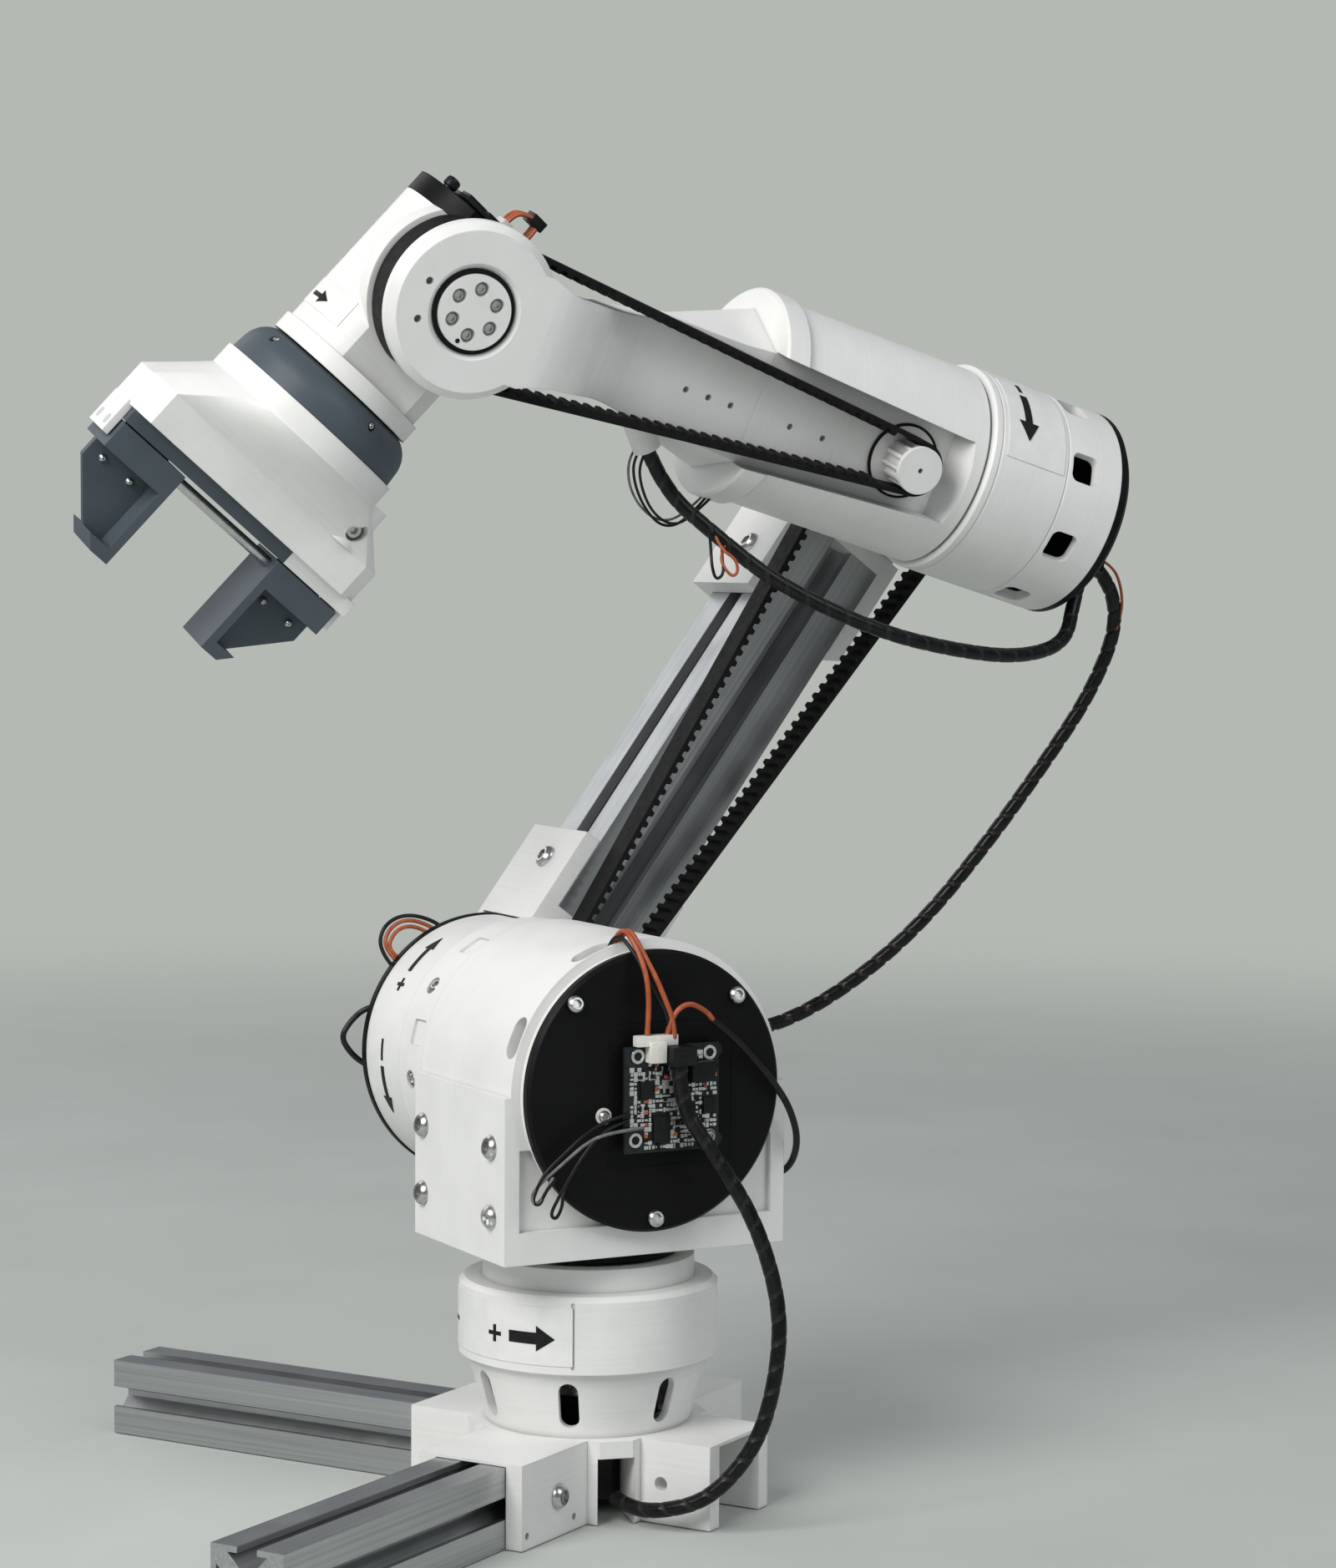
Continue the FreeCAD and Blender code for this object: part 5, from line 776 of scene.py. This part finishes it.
# Round solids turned about a line: the profile is (radius, height) pairs, and a ring's closes on itself
def turnedSolids(name, rows, link, aim, profile, material, body, ring=False, columns=36):
    work = bmesh.new()
    line = axisOf(link, aim)
    side = line.orthogonal().normalized()
    other = line.cross(side)
    for spot in rows:
        foot = onLink(link, spot)
        rings = []
        for radius, height in profile:
            rings.append([])
            for j in range(columns):
                angle = 2 * math.pi * j / columns
                out = (side * math.cos(angle) + other * math.sin(angle)) * radius
                rings[-1].append(work.verts.new(foot + (out + line * height) * mm))
        for i in range(len(rings) if ring else len(rings) - 1):
            upper = rings[(i + 1) % len(rings)]
            for j in range(columns):
                k = (j + 1) % columns
                work.faces.new((rings[i][j], rings[i][k], upper[k], upper[j]))
        if not ring:
            work.faces.new(list(reversed(rings[0])))
            work.faces.new(rings[-1])
    return keepPiece(name, meshFrom(name, work), [material], body)


def ringProfile(inner, outer, low, high):
    return [(inner, low), (outer, low), (outer, high), (inner, high)]


def dot(radius, sink, rise):
    return [(radius, -sink), (radius, rise)]


def around(degrees):
    return math.cos(math.radians(degrees)), math.sin(math.radians(degrees))


boardParts = boardTree()
board = {
    "low": (-23.5, -21.7), "high": (15.8, 17.7), "back": 58.0, "face": 59.6, "socketBack": 58.9,
    "chipBack": 59.0, "lift": 0.1, "inset": 2.0, "trim": 3.0, "clear": 0.8, "holeClear": 3.2,
    "holeRadius": 1.6,
    "holes": [(10.4, 14.1), (-19.6, 14.0), (11.2, -16.8), (-19.5, -17.2)],
    "chips": [((4.6, -1.6), (9.6, 4.8), 1.4), ((-2.6, -17.8), (4.2, -8.2), 1.5),
              ((-13.0, -9.0), (-7.6, -3.6), 1.3), ((-21.5, -8.5), (-16.5, -2.5), 1.2)],
    "sockets": [((0.9, 11.8), (7.3, 19.6), 5.0), ((-4.6, 17.9), (12.2, 21.9), 3.4)],
    "darkSockets": [((-9.5, 10.75), (0.5, 17.75), 9.0), ((-20.4, 3.6), (-10.6, 11.2), 3.4)],
}


# Grid points for small parts, clear of the holes, chips and sockets
def boardGrid(steps):
    near, wide = board["clear"], board["holeClear"]
    taken = [(low, high) for low, high, tall in board["chips"] + board["sockets"] + board["darkSockets"]]
    taken += [((x - wide, z - wide), (x + wide, z + wide)) for x, z in board["holes"]]
    countX, countZ = [int((high - low - board["trim"]) / step)
                      for low, high, step in zip(board["low"], board["high"], steps)]
    spots = []
    for i in range(countX):
        for k in range(countZ):
            x, z = [low + board["inset"] + number * step
                    for low, number, step in zip(board["low"], (i, k), steps)]
            if not any(a[0] - near < x < b[0] + near and a[1] - near < z < b[1] + near for a, b in taken):
                spots.append(onLink(pitchLink, (x, board["face"] + board["lift"], z)))
    mesh = bpy.data.meshes.new("board_grid")
    mesh.from_pydata(spots, [], [])
    return mesh


# Every part of the board rides on the shoulder; a row is its low corner, its high corner and its height
def onBoard(name, rows, back, material, edge):
    ends = [((low[0], back, low[1]), (high[0], board["face"] + tall, high[1])) for low, high, tall in rows]
    return blocks(name, ends, pitchLink, material, "shoulder", edge)


plate = onBoard("board_plate", [(board["low"], board["high"], 0.0)], board["back"], boardBlack, 0.25)
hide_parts("driver_board")
onBoard("board_sockets", board["sockets"], board["socketBack"], connectorWhite, 0.3)
onBoard("board_dark_sockets", board["darkSockets"], board["socketBack"], chipBlack, 0.3)
onBoard("board_chips", board["chips"], board["chipBack"], chipBlack, 0.15)
holeSpots = [(x, board["face"], z) for x, z in board["holes"]]
turnedSolids("board_hole_rings", holeSpots, pitchLink, upY,
             ringProfile(board["holeRadius"], 2.7, -0.2, 0.12), solder, "shoulder",
             ring=True)
# dark discs inside the solder rings paint the shade of the board's mounting holes
turnedSolids("board_hole_shade", holeSpots, pitchLink, upY, dot(board["holeRadius"], 0.2, 0.04), chipBlack,
             "shoulder")
for name, steps, seed, keep, length, width, height, material in (
        ("board_pads", (1.5, 1.7), 11, 0.82, 0.0019, 0.0007, 0.0008, solder),
        ("board_small_chips", (2.6, 2.9), 5, 0.4, 0.0022, 0.0011, 0.0013, chipBlack),
        ("board_capacitors", (4.1, 4.3), 3, 0.3, 0.0016, 0.0009, 0.0016, wireOrange)):
    mesh = grown(name, boardGrid(steps), boardParts,
                 {"Keep": keep, "Length": length, "Width": width, "Height": height, "Seed": seed,
                  "Finish": material})
    keepPiece(name, mesh, [material], "shoulder")
print("board dressed")

hub = {"circle": 8.6, "start": 33, "step": 60, "count": 6, "face": 45.75}
hubTurns = [around(hub["start"] + hub["step"] * k) for k in range(hub["count"])]
jawHead = {"Head Height": 0.95, "Dome": 0.62, "Socket Width": 0.2}
# Screws that the frame leaves to the finish, aimed along Y: body, link, head radius, form and places
screwSets = {
    "hub_screws": ("wrist", wristLink, 2.35, {"Socket Width": 0.55},
                   [(hub["circle"] * c, hub["face"], hub["circle"] * s) for c, s in hubTurns]),
    "boss_screw": ("gripper", wristLink, 3.3, {"Head Height": 0.8, "Dome": 0.12}, [(86, 14.95, -36)]),
    "front_jaw_screws": ("front_jaw", wristLink, 1.75, jawHead, [(128, 1.4, 48.8), (128, 1.4, 35.2)]),
    "rear_jaw_screws": ("rear_jaw", wristLink, 1.75, jawHead, [(128, 1.4, -48.8), (128, 1.4, -35.2)]),
    "cover_screw": ("shoulder", pitchLink, 2.3, {"Head Height": 0.7}, [(21.7, 54.6, -7.9)]),
    "board_screw": ("shoulder", pitchLink, 2.5, {"Head Height": 0.6}, [(-19.5, 59.6, -17.2)]),
}
for name, (body, link, size, settings, spots) in screwSets.items():
    rows = [(onLink(link, spot), axisOf(link, upY), size * mm) for spot in spots]
    driveScrews(name, rows, body, settings)

# The adapter's screws stand round its cone
adapter = {"along": 54.5, "circle": 33.4, "start": -10, "step": 85, "count": 4, "size": 1.5}
rows = []
for k in range(adapter["count"]):
    c, s = around(adapter["start"] + adapter["step"] * k)
    spot = (adapter["along"], adapter["circle"] * c, adapter["circle"] * s)
    rows.append((onLink(wristLink, spot), axisOf(wristLink, (0, c, s)), adapter["size"] * mm))
driveScrews("adapter_screws", rows, "gripper", {"Head Height": 1.2, "Dome": 0.5, "Socket Width": 0.3})

# Rings, and dark dots that paint the shade inside small holes
turnedSolids("cover_washer", [(21.7, 54, -7.9)], pitchLink, upY, ringProfile(1.2, 3.1, -0.2, 0.65),
             connectorWhite, "shoulder", ring=True)
turnedSolids("drive_rim", [(46, 0, 0)], forearmLink, upY, ringProfile(13.9, 14.9, 26.25, 27.15),
             beltRubber, "wrist_drive", ring=True, columns=64)
# a dark ring set into the groove round the hub: painted shade standing in for the groove's shadow
turnedSolids("hub_groove_shade", [(0, 0, 0)], wristLink, upY, ringProfile(13.9, 15.7, 46.4, 46.95),
             beltRubber, "wrist", ring=True, columns=64)
# the wrist's two small holes, drawn as dark dots: painted shade
wristHoles = {"circle": 30, "angle": 113, "along": (-8.6, 14.0)}
for number, along in enumerate(wristHoles["along"]):
    c, s = around(wristHoles["angle"])
    spot = (along, wristHoles["circle"] * c, wristHoles["circle"] * s)
    turnedSolids("wrist_hole_shade_%d" % (number + 1), [spot], wristLink, (0, c, s), dot(0.8, 0.3, 0.06),
                 chipBlack, "wrist", columns=20)
# a small hole in the hub, drawn as a dark dot: painted shade
turnedSolids("hub_hole_shade", [(11.6, 48.3, -2.3)], wristLink, upY, dot(0.9, 0.2, 0.05), chipBlack, "wrist")
print("screws driven")

# The belt's back round the wrist pulley, thickest in front and running out where the strands leave
beltBack = {"inner": 28.2, "outer": 28.6, "swell": 3.2, "half": 95.0, "ease": 40.0, "low": 27.5,
            "high": 39.3, "steps": 60}
work = bmesh.new()
rings = []
for step in range(beltBack["steps"] + 1):
    turn = beltBack["half"] * (2 * step / beltBack["steps"] - 1)
    share = min(1.0, (beltBack["half"] - abs(turn)) / beltBack["ease"])
    outer = beltBack["outer"] + beltBack["swell"] * share * share * (3 - 2 * share)
    c, s = around(turn)
    ring = []
    for r, y in ringProfile(beltBack["inner"], outer, beltBack["low"], beltBack["high"]):
        ring.append(work.verts.new(onLink(forearmLink, (stance["wristX"] + r * c, y, r * s))))
    rings.append(ring)
skin(work, rings, lambda i, face: 0)
work.faces.new(list(reversed(rings[0])))
work.faces.new(rings[-1])
keepPiece("wrist_belt_back", meshFrom("wrist_belt_back", work), [beltRubber], "forearm")

# The faint square on the shoulder cover
square = {"low": (-32.0, -28.0), "high": (19.7, 26.3), "width": 0.5, "under": 53.8, "face": 54.14}
a, b, w = square["low"], square["high"], square["width"]
squareBars = [((a[0], a[1]), (b[0], a[1] + w)), ((a[0], b[1] - w), (b[0], b[1])),
              ((a[0], a[1] + w), (a[0] + w, b[1] - w)), ((b[0] - w, a[1] + w), (b[0], b[1] - w))]
squareEnds = [((p[0], square["under"], p[1]), (q[0], square["face"], q[1])) for p, q in squareBars]
blocks("cover_square", squareEnds, pitchLink, blackSideways, "shoulder", edge=0.06)

# On the wrist's cap: a small board with its knob, sockets and a plug on six short wires
cap = {
    "face": -27.8, "wire": 0.75, "wireDepths": (-1.6, 1.0, 3.4),
    "outerWire": [(-35, -4.6), (-38.5, -4.6), (-42, -6.5), (-43.6, -11)],
    "innerWire": [(-30.5, -7.6), (-31, -12.5), (-36, -15.6), (-42, -14.6)],
}
blocks("cap_board", [((-31.4, -12, -8), (-29.8, 14, 18))], wristLink, boardBlack, "wrist",
       edge=0.2)
blocks("cap_blocks", [((-30, -9, -5), (cap["face"], 11, 15)), ((-33.6, -6, 4), (-31, 3, 13)),
                      ((-33.0, 5, 0), (-31, 11, 6)), ((-32.6, -8, -5), (-31, -2, 1)),
                      ((-45.6, -3.2, -16.8), (-41.4, 4.2, -10.4))],
       wristLink, chipBlack, "wrist")
blocks("cap_socket", [((-36, -2.5, -7), (-31, 4.5, -2.5))], wristLink, connectorWhite, "wrist")
turnedSolids("cap_knob", [(cap["face"], 4, 22)], wristLink, (-1, 0, 0),
             [(2.2, 0), (2.2, 1.6), (2.9, 2.0), (2.9, 4.4), (2.5, 5.2), (1.4, 5.6)], chipBlack, "wrist")
for number, depth in enumerate(cap["wireDepths"]):
    for first, path in ((1, cap["outerWire"]), (4, cap["innerWire"])):
        jumper("cap_wire_%d" % (first + number), [(x, depth, z) for x, z in path], cap["wire"], wireOrange,
               "wrist", wristLink)
print("cap dressed")

# Floor that fades out, and a plain pale surround
floorSize = {"radius": 2.4, "clear": 0.75, "rim": 0.96, "drop": 0.0004}
work = bmesh.new()
bmesh.ops.create_circle(work, cap_ends=True, segments=96, radius=floorSize["radius"])
floorMesh = meshFrom("pale_floor", work, outward=False)
floorMaterial, tree, shader, place = newMaterial("floor_pale", Roughness=0.85)
far = addNode(tree, "ShaderNodeVectorMath", {"operation": "LENGTH"}, i0=place)
fade = addNode(tree, "ShaderNodeMapRange", {"interpolation_type": "SMOOTHERSTEP"}, i0=far.outputs["Value"],
               i1=floorSize["clear"], i2=floorSize["radius"] * floorSize["rim"], i3=1.0, i4=0.0)
feed(tree, shader, Alpha=fade,
     Base_Color=tint(tree, noise(tree, place, 9.0, 4.0), (0.50, 0.525, 0.50), (0.53, 0.555, 0.53)))
floorMesh.materials.append(floorMaterial)
floor = bpy.data.objects.new("pale_floor", floorMesh)
floor.location.z = -floorSize["drop"]
scene.collection.objects.link(floor)

world = bpy.data.worlds.new("studio")
scene.world = world
world.use_nodes = True
tree = world.node_tree
tree.nodes.clear()
seen = addNode(tree, "ShaderNodeBackground", Color=(0.46, 0.485, 0.455, 1), Strength=1.0)
light = addNode(tree, "ShaderNodeBackground", Color=(0.92, 0.96, 1.0, 1), Strength=0.36)
gloss = addNode(tree, "ShaderNodeBackground", Color=(0.92, 0.96, 1.0, 1), Strength=0.2)
path = addNode(tree, "ShaderNodeLightPath")
lit = addNode(tree, "ShaderNodeMixShader", Fac=path.outputs["Is Glossy Ray"], i1=light, i2=gloss)
both = addNode(tree, "ShaderNodeMixShader", Fac=path.outputs["Is Camera Ray"], i1=lit, i2=seen)
addNode(tree, "ShaderNodeOutputWorld", Surface=both)

# Soft boxes: a large key from the viewer's upper left, a weak fill from the right and one from behind
lampAim = Vector((-0.05, 0, 0.28))
lamps = {
    "key": {"spot": (1.35, 0.62, 1.35), "size": 1.1, "power": 28.0, "tone": (1.0, 0.985, 0.96)},
    "fill": {"spot": (-0.7, 1.6, 1.5), "size": 1.2, "power": 9.0, "tone": (0.95, 0.98, 1.0)},
    "back": {"spot": (0.45, -1.4, 1.05), "size": 1.3, "power": 4.5, "tone": (1.0, 1.0, 1.0)},
}
for name, settings in lamps.items():
    lamp = bpy.data.lights.new(name, "AREA")
    lamp.shape = "DISK"
    lamp.size = settings["size"]
    lamp.energy = settings["power"]
    lamp.color = settings["tone"]
    holder = bpy.data.objects.new(name, lamp)
    holder.location = settings["spot"]
    aim = lampAim - Vector(settings["spot"])
    holder.rotation_euler = aim.to_track_quat("-Z", "Y").to_euler()
    holder.visible_camera = False
    scene.collection.objects.link(holder)

# The camera, solved on the edges of the legs, base block and shoulder disc
camera = {
    "spot": (0.63219, 1.24022, 0.36015), "lens": 84.32, "sensor": 36.0, "near": 0.01,
    "right": (-0.88129668, 0.47252628, 0.0059227), "up": (-0.02404991, -0.05736472, 0.99806357),
    "ahead": (-0.47195102, -0.87944767, -0.06191955),
}
lens = bpy.data.cameras.new("photo_camera")
lens.lens = camera["lens"]
lens.sensor_width = camera["sensor"]
lens.clip_start = camera["near"]
eye = bpy.data.objects.new("photo_camera", lens)
sides = zip(camera["right"], camera["up"], camera["ahead"], camera["spot"])
eye.matrix_world = Matrix([(right, up, -ahead, spot) for right, up, ahead, spot in sides] + [(0, 0, 0, 1)])
scene.collection.objects.link(eye)
scene.camera = eye
scene.view_settings.view_transform = "Standard"

print("scene ready")
